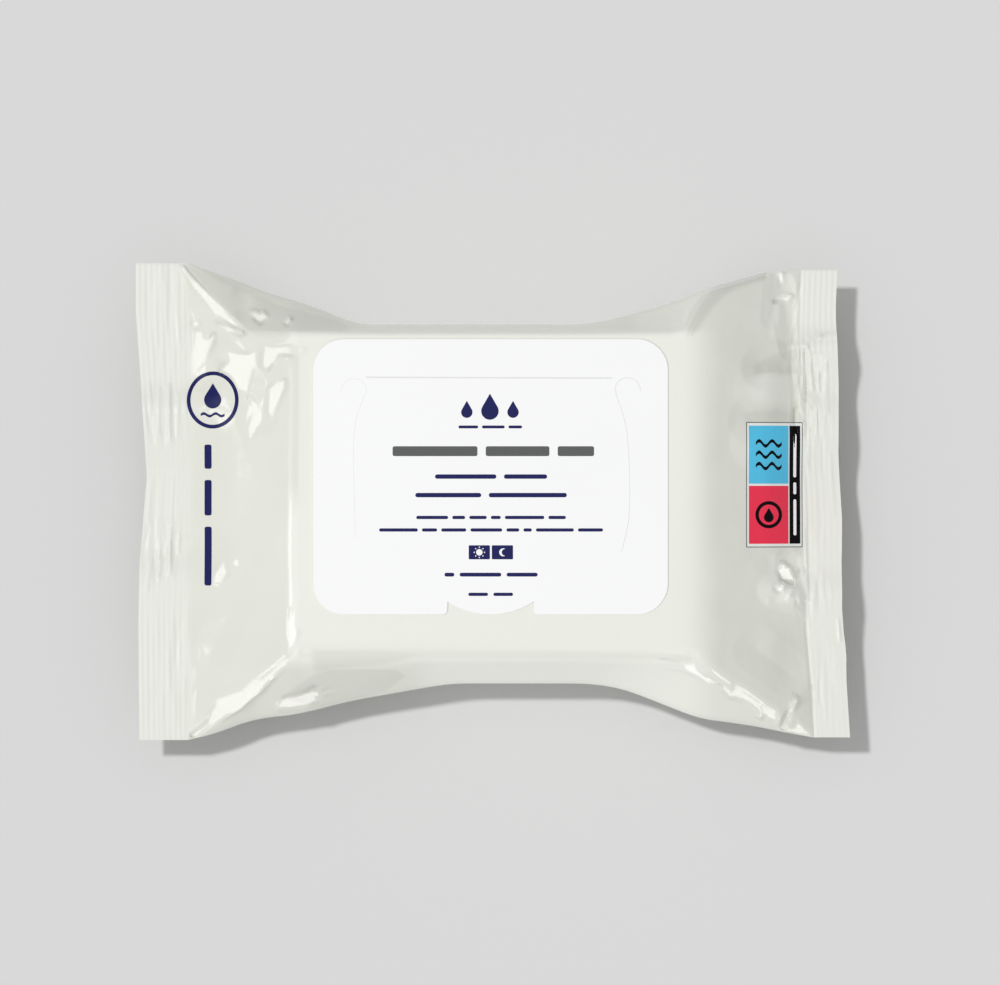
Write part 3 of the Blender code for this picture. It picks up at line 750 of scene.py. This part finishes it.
def odd_inside(x, y, loops):
    """Whether each point is inside an odd number of the loops."""
    odd = np.zeros(np.shape(x), bool)
    for loop in loops:
        corners = np.array(loop)
        for a, b in zip(corners, np.roll(corners, -1, axis=0)):
            crosses = (a[1] > y) != (b[1] > y)
            rise = b[1] - a[1] if b[1] != a[1] else 1e-12
            odd ^= crosses & (x < a[0] + (y - a[1]) * (b[0] - a[0]) / rise)
    return odd


def inside_by(x, y, corners):
    """How far inside a polygon each point is: over 0 inside, below 0 outside."""
    corners = np.array(corners)
    nearest = np.full_like(x, 1e9)
    for a, b in zip(corners, np.roll(corners, -1, axis=0)):
        nearest = np.minimum(nearest, off_line(x, y, a, b))
    return np.where(odd_inside(x, y, [corners]), nearest, -nearest)


def press_facet(x, y, z, corners, slope_x, slope_y):
    """The heights with a flat facet pressed in: its plane inside, and a steep crease round it."""
    depth = inside_by(x, y, metres(corners))
    inside = depth > 0
    if not inside.any():
        return z
    cx, cy, level = x[inside].mean(), y[inside].mean(), z[inside].mean()
    plane = level + slope_x * (x - cx) + slope_y * (y - cy)
    return z + (plane - z) * ramp(depth, *FACET_RIM)


def shape_film(xs, ys, zs, upper):
    """The heights and places of the film's points: creases, crumples, seam, ribs and crimp waves."""
    out_x, out_z = xs.copy(), zs.copy()
    for end in (-1, 1):
        mine = xs < 0 if end < 0 else xs >= 0
        x, y, z = xs[mine], ys[mine], zs[mine]
        start, flat = CRIMP_START[end], TOP_REACH[end]
        along = np.abs(x)
        across = y / HALF_FLAT
        near_end = ramp(along, start - CRIMP_WAVE_REACH, start)
        if upper:
            off_top = ramp(along, flat - TOP_ROUND[end], flat + CREASES_WHOLE)
            before_crimp = 1.0 - ramp(along, start - CREASES_FADE, start)
            z = z + tents(x, y, CREASES[end], end) * off_top * before_crimp
            faded = (1.0 - CRUMPLES_KEEP) * ramp(along, start - CRUMPLES_FADE, start)
            on_slopes = ramp(along - flat, *CRUMPLES_RISE) * (1.0 - faded)
            for spacing, tilt, seed in CRUMPLES:
                z = z + crumple(x, y, spacing, tilt, seed + end) * on_slopes
            z = z + bulges(x, y)
            past = (along - start - CRIMP_LINE_PAST) / CRIMP_LINE_REACH
            z = z - CRIMP_LINE_DEPTH[end] * np.exp(-(past**2))
        else:
            z = z + seam_relief(y, z)
        z = z + crimp_wave(end, across) * near_end + rib_height(end, x, y)
        z = z + pleats(x, y, PLEAT_SEED + end) * near_end
        into_crimp = np.maximum(along - start, 0.0) / CRIMP_LENGTH[end]
        root = CRIMP_ROOT_SHARE[end]
        inset = height_on(CRIMP_INSET[end], across) * (root * near_end + (1.0 - root) * into_crimp)
        inset -= height_on(CUT_EDGE[end], y * 1000) / 1000 * np.minimum(into_crimp, 1.0)
        x = end * (along - inset)
        if upper:
            z = z + seal_folds(x, y)
            for slope, group in FACETS.items():
                for corners in group:
                    z = press_facet(x, y, z, corners, *slope)
        out_x[mine] = x
        out_z[mine] = z
    return out_x, out_z


def zip_strip(a, b, ys):
    """Triangles between two lines of points that both run from rear to front."""
    faces, i, j = [], 0, 0
    while i < len(a) - 1 or j < len(b) - 1:
        step_a = j == len(b) - 1 or (i < len(a) - 1 and ys[a[i + 1]] >= ys[b[j + 1]])
        if step_a:
            face = (a[i], a[i + 1], b[j])
            i += 1
        else:
            face = (a[i], b[j + 1], b[j])
            j += 1
        if len(set(face)) == 3:
            faces.append(face)
    return faces


def add_values(mesh, name, values):
    """A value for each point of a mesh, for its material to read."""
    mask = mesh.attributes.new(name, "FLOAT", "POINT")
    mask.data.foreach_set("value", values.astype(np.float32))


def half_points(places, halves, upper):
    """The shaped points of the upper or the under halves of all sections, and how many each half has."""
    count = len(halves[0])
    y, z = np.concatenate(halves).T
    x, z = shape_film(np.repeat(places, count), y, z, upper)
    return np.stack((x, y, z), 1), count


def build_film():
    """The pouch, as a loft through closely spaced sections."""
    places = stations()
    overs, unders = zip(*(section(x) for x in places))
    over, n_over = half_points(places, overs, True)
    under, n_under = half_points(places, [u[1:-1] for u in unders], False)
    points = np.concatenate((over, under))
    base = len(over)
    faces = []
    tops, bottoms = [], []
    for s in range(len(places)):
        top = list(range(s * n_over, (s + 1) * n_over))
        low = list(range(base + s * n_under, base + (s + 1) * n_under))
        tops.append(top)
        bottoms.append([top[0], *low, top[-1]])
    for s in range(len(places) - 1):
        a, b = tops[s], tops[s + 1]
        faces += [(a[i], a[i + 1], b[i + 1], b[i]) for i in range(len(a) - 1)]
        a, b = bottoms[s], bottoms[s + 1]
        faces += [(b[i], b[i + 1], a[i + 1], a[i]) for i in range(len(a) - 1)]
    faces += [face[::-1] for face in zip_strip(tops[0], bottoms[0], points[:, 1])]
    faces += zip_strip(tops[-1], bottoms[-1], points[:, 1])
    mesh = bpy.data.meshes.new("film")
    mesh.from_pydata(points.tolist(), [], faces)
    into = np.abs(places) - [CRIMP_START[end_of(x)] for x in places]
    into = np.concatenate((np.repeat(into, n_over), np.repeat(into, n_under)))
    add_values(mesh, "crimped", ramp(into, *CRIMP_LOOK_RISE))
    add_values(mesh, "crimp_root", ROOT_MATT * np.exp(-(((into + ROOT_BEFORE) / ROOT_REACH) ** 2)))
    # Painted shade in patches where the film should look darker, and painted light below 0 where it should
    # look lighter
    painted_shade_and_light = np.zeros(len(points))
    for soft, share, corners in PAINTED_SHADE_AND_LIGHT:
        depth = inside_by(points[:, 0], points[:, 1], metres(corners)) * 1000
        tone = share * ramp(depth, -soft, soft)
        painted_shade_and_light = np.where(np.abs(tone) > np.abs(painted_shade_and_light), tone, painted_shade_and_light)
    painted_shade_and_light[base:] = 0.0
    add_values(mesh, "painted_shade_and_light", painted_shade_and_light)
    mesh.shade_smooth()
    mesh.set_sharp_from_angle(angle=math.radians(SHARP_FROM_DEG))
    return placed("film", mesh)


# Flat shapes: the label and the print


def arc(cx, cy, radius, start_deg, end_deg, steps):
    points = []
    for i in range(steps + 1):
        angle = math.radians(start_deg + (end_deg - start_deg) * i / steps)
        points.append((cx + radius * math.cos(angle), cy + radius * math.sin(angle)))
    return points


def rounded_bar(cx, cy, length, height, radius=None, upright=False):
    """A rounded rectangle, in millimetres."""
    if upright:
        length, height = height, length
    r = min(length, height) / 2 if radius is None else radius
    hx, hy = length / 2 - r, height / 2 - r
    loop = arc(cx + hx, cy + hy, r, 0, 90, 5) + arc(cx - hx, cy + hy, r, 90, 180, 5)
    return loop + arc(cx - hx, cy - hy, r, 180, 270, 5) + arc(cx + hx, cy - hy, r, 270, 360, 5)


def words(cx, cy, lengths, height, gap, upright=False, **more):
    """A row of bars in the place of a line of small print."""
    total = sum(lengths) + gap * (len(lengths) - 1)
    at = -total / 2
    loops = []
    for length in lengths:
        middle = at + length / 2
        if upright:
            loops.append(rounded_bar(cx, cy - middle, length, height, upright=True, **more))
        else:
            loops.append(rounded_bar(cx + middle, cy, length, height, **more))
        at += length + gap
    return loops


def droplet(cx, cy, radius, height, steps=28):
    """A drop: a round belly that runs up to a point."""
    tip = cy + height
    swing = math.degrees(math.acos(min(radius / height, 1.0)))
    return arc(cx, cy, radius, 90 + swing, 450 - swing, steps) + [(cx, tip)]


def circle(cx, cy, radius, steps=64):
    return arc(cx, cy, radius, 0, 360 * (steps - 1) / steps, steps - 1)


def oval(cx, cy, reach_x, reach_y, steps=96):
    return [(cx + reach_x * x, cy + reach_y * y) for x, y in circle(0.0, 0.0, 1.0, steps)]


def crescent(cx, cy, radius):
    return arc(cx, cy, radius, 60, 300, 20) + arc(cx + radius * 0.5, cy, radius * 0.866, 270, 90, 14)[1:-1]


def wave(cx, cy, length, thickness, rise):
    """A wavy line two waves long."""
    over = [(cx + length * (i / 24 - 0.5), cy + rise * math.sin(i / 24 * 4 * math.pi)) for i in range(25)]
    return [(x, y + thickness / 2) for x, y in over] + [(x, y - thickness / 2) for x, y in over[::-1]]


def split_edges(loop, longest):
    """The loop with every edge cut into pieces no longer than that."""
    points = []
    for a, b in zip(loop, loop[1:] + loop[:1]):
        count = max(1, math.ceil(math.dist(a, b) / longest))
        points += [(a[0] + (b[0] - a[0]) * i / count, a[1] + (b[1] - a[1]) * i / count) for i in range(count)]
    return points


def flat_mesh(name, loops, height_at, grid=None):
    """A thin sheet in the shape of the loops (millimetres, even-odd), laid at the height given for each
    point, cut finely enough to follow a crumpled surface if a grid is given."""
    points, edges = [], []
    for loop in loops:
        loop = split_edges(loop, grid) if grid else loop
        first = len(points)
        points += loop
        edges += [(first + i, first + (i + 1) % len(loop)) for i in range(len(loop))]
    if grid:
        corners = np.array(points)
        xs = np.arange(corners[:, 0].min() + grid / 2, corners[:, 0].max(), grid)
        ys = np.arange(corners[:, 1].min() + grid / 2, corners[:, 1].max(), grid)
        gx, gy = (a.ravel() for a in np.meshgrid(xs, ys))
        keep = odd_inside(gx, gy, loops)
        points += list(zip(gx[keep].tolist(), gy[keep].tolist()))
    verts, _, faces, *_ = delaunay_2d_cdt([Vector(p) for p in points], edges, [], 0, 1e-4)
    flat = np.array([v[:] for v in verts])
    middles = np.array([flat[list(f)].mean(axis=0) for f in faces])
    keep = odd_inside(middles[:, 0], middles[:, 1], loops)
    faces = [f for f, inside in zip(faces, keep) if inside]
    solid = [(x / 1000, y / 1000, height_at(x / 1000, y / 1000)) for x, y in flat]
    mesh = bpy.data.meshes.new(name)
    mesh.from_pydata(solid, [], faces)
    mesh.validate()
    mesh.shade_smooth()
    return placed(name, mesh)


def label_outline():
    """The label's edge in millimetres: rounded corners, and a tab between two notches in front."""
    half_x, half_y = LABEL_LENGTH * 500, LABEL_WIDTH * 500
    corner = LABEL_CORNER_RADIUS * 1000
    outline = arc(half_x - corner, half_y - corner, corner, 0, 90, 16)
    outline += arc(corner - half_x, half_y - corner, corner, 90, 180, 16)
    outline += arc(corner - half_x, corner - half_y, corner, 180, 270, 16)
    half_tab, depth, small = TAB_WIDTH * 500, TAB_NOTCH_DEPTH * 1000, TAB_NOTCH_ROUND * 1000
    outline += arc(-half_tab - small, small - half_y, small, 270, 360, 6)
    tab_radius = (half_tab**2 + depth**2) / (2 * depth)
    swing = math.degrees(math.asin(half_tab / tab_radius))
    outline += arc(0.0, tab_radius - half_y, tab_radius, 270 - swing, 270 + swing, 28)
    outline += arc(half_tab + small, small - half_y, small, 180, 270, 6)
    outline += arc(half_x - corner, corner - half_y, corner, 270, 360, 16)
    return [(x + LABEL_CENTRE.x * 1000, y + LABEL_CENTRE.y * 1000) for x, y in outline]


def curve_piece(name, dimensions, kind, paths, rounding):
    """A curve with a rounded edge along its paths, which are in millimetres, each with its strength."""
    curve = bpy.data.curves.new(name, "CURVE")
    curve.dimensions = dimensions
    curve.bevel_depth = rounding
    curve.bevel_resolution = 2
    for path, strength in paths:
        spline = curve.splines.new(kind)
        spline.points.add(len(path) - 1)
        for point, (x, y) in zip(spline.points, metres(path)):
            point.co = (x, y, 0.0, 1.0)
            point.radius = strength
    return placed(name, curve)


def build_label():
    """The label: a thin sheet with softened edges, lying on the film."""
    label = curve_piece("label", "2D", "POLY", [(label_outline(), 1.0)], LABEL_EDGE_ROUND)
    label.data.fill_mode = "BOTH"
    label.data.splines[0].use_cyclic_u = True
    label.data.extrude = LABEL_THICKNESS / 2 - LABEL_EDGE_ROUND
    label.data.offset = -LABEL_EDGE_ROUND
    label.location = (0.0, 0.0, LABEL_TOP - LABEL_THICKNESS / 2)
    return label


def opening_lines():
    """The line of the opening that shows through the label: paths in millimetres, and how strong each is."""
    right = [(39.0, 29.2), (38.6, 31.4), (36.6, 32.7), (34.0, 32.6), (32.2, 30.8), (32.5, 28.0)]
    right += [(34.3, 23.5), (35.5, 17.9), (36.1, 9.0), (36.1, -4.0), (35.0, -9.2), (33.9, -13.4)]
    left = [(-40.3, 29.0), (-39.6, 31.2), (-38.0, 32.4), (-35.6, 32.5), (-33.6, 31.0), (-33.3, 29.2)]
    left += [(-34.4, 27.0), (-36.4, 21.4), (-37.0, 13.4), (-36.5, -2.0), (-36.4, -9.5)]
    top = [(-33.5, 32.8), (31.3, 32.6)]
    return [(top, 0.85), (left, 0.3), (right, 0.5)]


def build_opening_bead():
    """The faint raised line of the opening under the label."""
    bead = curve_piece("opening_bead", "3D", "NURBS", opening_lines(), OPENING_REACH)
    for spline in bead.data.splines:
        spline.order_u = 3
        spline.use_endpoint_u = True
        spline.resolution_u = 6
    bead.scale = (1.0, 1.0, OPENING_FLATNESS)
    bead.location = (0.0, 0.0, LABEL_TOP - OPENING_SUNK)
    return bead


# The print


def label_print():
    """The shapes printed on the label, by ink: plain drops, bars and small boxes in millimetres."""
    sun_x, moon_x, boxes_y = -3.6, 2.5, -13.4
    navy = [droplet(-0.8, 23.9, 2.3, 4.6), droplet(-6.9, 23.6, 1.5, 3.0), droplet(5.3, 23.6, 1.5, 3.0)]
    navy += words(-0.7, 19.7, [5.2, 6.0, 3.6], 0.75, 1.0)
    navy += words(-0.5, 6.6, [16.2, 11.4], 1.15, 2.0)
    navy += words(-0.5, 1.7, [17.4, 20.6], 1.15, 2.0)
    navy += words(-0.5, -4.2, [8.4, 3.4, 4.6, 2.6, 10.4, 4.6], 0.85, 1.1)
    navy += words(-0.5, -7.5, [10.2, 4.0, 6.6, 8.4, 3.4, 2.2, 10.0, 6.6], 0.85, 1.1)
    navy += [rounded_bar(x, boxes_y, 5.6, 3.7, 0.25) for x in (sun_x, moon_x)]
    navy += words(-0.5, -19.3, [2.6, 11.0, 8.2], 1.0, 1.4)
    navy += words(-0.6, -24.5, [5.2, 5.2], 0.85, 1.4)
    grey = words(0.1, 13.3, [22.4, 16.8, 9.6], 2.6, 2.2, radius=0.5)
    white = [circle(sun_x, boxes_y, 0.85, 32), crescent(moon_x + 0.2, boxes_y, 1.05)]
    white += [rounded_bar(x, y, 0.34, 0.34) for x, y in arc(sun_x, boxes_y, 1.35, 0, 315, 7)]
    return {"navy": navy, "grey": grey, "white": white}


def film_print():
    """The shapes printed on the film, by ink: a round sign on the left, and a notice on the right."""
    sign_x, sign_y = -74.4, 26.95
    notice_x, notice_y = 74.7, 4.45
    field_x = 73.15
    navy = [oval(sign_x, sign_y, 6.97, 7.58), oval(sign_x, sign_y, 6.0, 6.6)]
    navy += [droplet(sign_x, 27.0, 2.3, 4.4), wave(sign_x, 23.0, 6.4, 0.7, 0.35)]
    navy += words(-75.7, -3.6, [6.4, 9.4, 15.6], 1.9, 3.0, upright=True, radius=0.5)
    border = rounded_bar(notice_x, notice_y, 14.8, 32.8, 0.1)
    dark = [[(78.8, -11.2), (81.7, -11.2), (81.7, 20.1), (78.8, 20.1)]]
    dark += [wave(field_x, y, 7.0, 0.9, 0.7) for y in (15.4, 12.4, 9.4)]
    dark += [circle(field_x, -3.5, 3.6, 48), circle(field_x, -3.5, 2.7, 48), droplet(field_x, -4.2, 1.3, 2.5)]
    return {
        "navy": navy,
        "outline": [rounded_bar(notice_x, notice_y, 15.2, 33.2, 0.1), border],
        "border": [border],
        "blue": [[(67.8, 4.75), (78.5, 4.75), (78.5, 20.1), (67.8, 20.1)]],
        "red": [[(67.8, -11.2), (78.5, -11.2), (78.5, 4.15), (67.8, 4.15)]],
        "dark": dark,
        "pale": words(80.25, notice_y, [11.5, 3.2, 9.6], 0.8, 1.3, upright=True),
    }


# The materials


def node(tree, kind, inputs=None, **settings):
    made = tree.nodes.new(kind)
    for key, value in settings.items():
        setattr(made, key, value)
    for key, value in (inputs or {}).items():
        if isinstance(value, bpy.types.NodeSocket):
            tree.links.new(value, made.inputs[key])
        else:
            made.inputs[key].default_value = value
    return made


def material(name, colour, roughness, **more):
    """A new material, with its node tree, its shader and the place on the object for its patterns."""
    mat = bpy.data.materials.new(name)
    mat.use_nodes = True
    tree = mat.node_tree
    shader = tree.nodes["Principled BSDF"]
    for key, value in {"Base Color": (*colour, 1.0), "Roughness": roughness, **more}.items():
        shader.inputs[key].default_value = value
    return mat, tree, shader, node(tree, "ShaderNodeTexCoord").outputs["Object"]


def maths(tree, how, a, b, **more):
    return node(tree, "ShaderNodeMath", {0: a, 1: b}, operation=how, **more).outputs[0]


def mixed(tree, share, low, high):
    """A colour between two, each of them a plain colour or another node's output."""
    low, high = ((*c, 1.0) if isinstance(c, tuple) else c for c in (low, high))
    return node(tree, "ShaderNodeMix", {0: share, 6: low, 7: high}, data_type="RGBA").outputs[2]


def noise(tree, place, scale, detail, **more):
    inputs = {"Vector": place, "Scale": scale, "Detail": detail, **more}
    return node(tree, "ShaderNodeTexNoise", inputs).outputs[0]


def bumped(tree, height, strength, distance, **more):
    inputs = {"Height": height, "Strength": strength, "Distance": distance, **more}
    return node(tree, "ShaderNodeBump", inputs).outputs[0]


def fade(tree, value, start, end):
    inputs = {"Value": value, 1: start, 2: end}
    return node(tree, "ShaderNodeMapRange", inputs, interpolation_type="SMOOTHSTEP").outputs[0]


def within(tree, value, low, low_soft, high, high_soft):
    """1 where the value is between low and high, fading out over the soft widths."""
    up = fade(tree, value, low - low_soft, low + low_soft)
    return maths(tree, "MULTIPLY", up, fade(tree, value, high + high_soft, high - high_soft))


def film_material():
    """Glossy off-white film: creamier where the wipes lie behind it and greyer where it hangs free, with
    painted light on the front side's waist and painted shade and painted light in patches.
    """
    mat, tree, shader, place = material("film_gloss", FILM_BACKED_AND_PAINTED_LIGHT, FILM_GLOSSY, IOR=FILM_IOR)
    x, y, _ = node(tree, "ShaderNodeSeparateXYZ", {0: place}).outputs
    crimped, root, painted_shade_and_light = (
        node(tree, "ShaderNodeAttribute", attribute_name=name).outputs["Fac"]
        for name in ("crimped", "crimp_root", "painted_shade_and_light")
    )
    along = within(tree, x, *BACKED_ALONG)
    # The front side's waist counts as backed: painted light, which makes it lighter
    waist = maths(tree, "MULTIPLY", within(tree, x, *BACKED_WAIST_PAINTED_LIGHT), within(tree, y, *FRONT_SIDE))
    held = maths(tree, "MAXIMUM", within(tree, y, *BACKED_ACROSS), waist)
    backed_and_painted_light = maths(tree, "MULTIPLY", along, held)
    edge = maths(tree, "MULTIPLY", backed_and_painted_light, within(tree, y, *REAR_HALF))
    crest = maths(tree, "MULTIPLY", within(tree, y, *FRONT_CREST), along)
    matt = maths(tree, "MULTIPLY", crimped, CRIMP_MATT)
    for area in (edge, root, crest):
        matt = maths(tree, "MAXIMUM", matt, area)
    rough = node(tree, "ShaderNodeMapRange", {"Value": matt, 3: FILM_GLOSSY, 4: FILM_MATT})
    tree.links.new(rough.outputs[0], shader.inputs["Roughness"])
    colour = mixed(tree, noise(tree, place, 42.0, 2.0, Roughness=0.5), *FILM_FREE)
    colour = mixed(tree, crimped, colour, FILM_CRIMPED)
    colour = mixed(tree, backed_and_painted_light, colour, FILM_BACKED_AND_PAINTED_LIGHT)
    # Below 0 the share is painted light towards the backed colour, above 0 it is painted shade towards the
    # grey
    painted_light = maths(tree, "MULTIPLY", painted_shade_and_light, -1.0, use_clamp=True)
    colour = mixed(tree, painted_light, colour, FILM_BACKED_AND_PAINTED_LIGHT)
    colour = mixed(tree, painted_shade_and_light, colour, FILM_PAINTED_SHADE)
    tree.links.new(colour, shader.inputs["Base Color"])
    ripple = bumped(tree, noise(tree, place, 160.0, 3.0, Roughness=0.5), 0.10, 0.0008)
    grain = bumped(tree, noise(tree, place, 1800.0, 2.0), 0.04, 0.0001, Normal=ripple)
    tree.links.new(grain, shader.inputs["Normal"])
    return mat


def label_material():
    """Smooth white label film with the faintest unevenness."""
    mat, tree, shader, place = material("label_satin", LABEL_WHITES[1], LABEL_ROUGHNESS, IOR=LABEL_IOR)
    colour = mixed(tree, noise(tree, place, 25.0, 2.0), *LABEL_WHITES)
    tree.links.new(colour, shader.inputs["Base Color"])
    grain = bumped(tree, noise(tree, place, 900.0, 3.0), 0.05, 0.0001)
    tree.links.new(grain, shader.inputs["Normal"])
    return mat


def ink_material(name, colour, roughness, ior):
    """Printing ink: a little mottled, under the gloss of the film."""
    mat, tree, shader, place = material(name, colour, roughness, IOR=ior)
    lighter = tuple(min(1.0, c * 1.12 + 0.002) for c in colour)
    mottled = mixed(tree, noise(tree, place, 1400.0, 2.0), colour, lighter)
    tree.links.new(mottled, shader.inputs["Base Color"])
    return mat


# The studio


def build_floor():
    """A plain pale floor."""
    mesh = bpy.data.meshes.new("floor")
    corners = [(FLOOR_HALF * x, FLOOR_HALF * y, 0.0) for x, y in ((-1, -1), (1, -1), (1, 1), (-1, 1))]
    mesh.from_pydata(corners, [], [(0, 1, 2, 3)])
    floor = placed("floor", mesh)
    floor.location = (0.0, 0.0, -0.0001)
    mat, _, shader, _ = material("floor_grey", FLOOR_GREY, FLOOR_ROUGHNESS)
    shader.inputs["Specular IOR Level"].default_value = 0.0
    mesh.materials.append(mat)
    return floor


def direction(azimuth_deg, polar_deg):
    """The way from the pack to a light: azimuth 0 is +X and 90 is +Y, polar 0 is straight up."""
    a, p = math.radians(azimuth_deg), math.radians(polar_deg)
    return Vector((math.sin(p) * math.cos(a), math.sin(p) * math.sin(a), math.cos(p)))


def lamp(name, kind, towards, **settings):
    """A light that shines down from the way given."""
    data = bpy.data.lights.new(name, kind)
    for key, value in settings.items():
        setattr(data, key, value)
    light = placed(name, data)
    light.rotation_mode = "QUATERNION"
    light.rotation_quaternion = towards.to_track_quat("Z", "Y")
    return light


def softbox(name, azimuth_deg, polar_deg, wide_deg, high_deg, radiance):
    """A rectangular light, as wide and high in degrees as it is seen from the pack."""
    wide, high = (2 * SOFTBOX_DISTANCE * math.tan(math.radians(deg / 2)) for deg in (wide_deg, high_deg))
    towards = direction(azimuth_deg, polar_deg)
    energy = radiance * math.pi * wide * high
    light = lamp(name, "AREA", towards, shape="RECTANGLE", size=wide, size_y=high, energy=energy)
    light.location = towards * SOFTBOX_DISTANCE + Vector((0.0, 0.0, SOFTBOX_RAISED))
    light.visible_camera = False
    return light


def light_only(lights, name, pieces):
    """Let the lights fall on these pieces alone."""
    lit = bpy.data.collections.new(name)
    for piece in pieces:
        lit.objects.link(piece)
    for light in lights:
        light.light_linking.receiver_collection = lit


def build_sun(floor):
    """The light that lays the pack's shadow on the floor."""
    spread = math.radians(SUN_SPREAD_DEG)
    sun = lamp("sun", "SUN", Vector(SUN_FROM), energy=SUN_STRENGTH, angle=spread)
    light_only([sun], "lit_by_sun", [floor])


def build_world():
    world = bpy.data.worlds.new("studio")
    bpy.context.scene.world = world
    world.use_nodes = True
    tree = world.node_tree
    lit = tree.nodes["Background"]
    lit.inputs["Color"].default_value = (1.0, 1.0, 1.0, 1.0)
    lit.inputs["Strength"].default_value = GLOW
    seen = node(tree, "ShaderNodeBackground", {"Color": (*BACKDROP_GREY, 1.0), "Strength": 1.0})
    path = node(tree, "ShaderNodeLightPath")
    plain = path.outputs["Is Camera Ray"]
    for ray in ("Is Glossy Ray", "Is Transmission Ray"):
        plain = maths(tree, "MAXIMUM", plain, path.outputs[ray])
    mix = node(tree, "ShaderNodeMixShader", {0: plain, 1: lit.outputs[0], 2: seen.outputs[0]})
    tree.links.new(mix.outputs[0], tree.nodes["World Output"].inputs["Surface"])


# Putting it together


def dress(obj, mat):
    obj.data.materials.clear()
    obj.data.materials.append(mat)


def build_pack():
    film = build_film()
    dress(film, film_material())
    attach(film, "root")
    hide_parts("film_pack")

    label = build_label()
    dress(label, label_material())
    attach(label, "root")
    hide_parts("reseal_label")

    bead = build_opening_bead()
    # The raised line is coloured grey as painted shade
    dress(bead, ink_material("label_line_painted_shade", OPENING_PAINTED_SHADE, LABEL_ROUGHNESS, LABEL_IOR))
    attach(bead, "root")

    pack = [film, label, bead]
    inks = {name: ink_material(f"ink_{name}", *look) for name, look in INKS.items()}
    inks["pale"] = inks["white"]
    for ink, loops in label_print().items():
        level = LABEL_TOP + LABEL_LIFTS[ink] * LIFT_STEP
        piece = flat_mesh(f"label_print_{ink}", loops, lambda x, y: level)
        dress(piece, inks[ink])
        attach(piece, "root")
        pack.append(piece)

    corners = [v.co[:] for v in film.data.vertices]
    surface = BVHTree.FromPolygons(corners, [p.vertices[:] for p in film.data.polygons])

    def on_film(x, y):
        above = Vector((x, y, PACK_HEIGHT * 2))
        return surface.ray_cast(above, Vector((0.0, 0.0, -1.0)))[0].z

    for ink, loops in film_print().items():
        lift = FILM_LIFTS[ink] * LIFT_STEP
        piece = flat_mesh(f"film_print_{ink}", loops, lambda x, y: on_film(x, y) + lift, FILM_PRINT_GRID)
        dress(piece, inks[ink])
        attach(piece, "root")
        pack.append(piece)
    return pack


def main():
    build_camera()
    bpy.context.scene.view_settings.view_transform = "Standard"
    pack = build_pack()
    floor = build_floor()
    build_world()
    build_sun(floor)
    boxes = [softbox(name, *values) for name, values in SOFTBOXES.items()]
    light_only(boxes, "lit_by_softboxes", pack)


main()
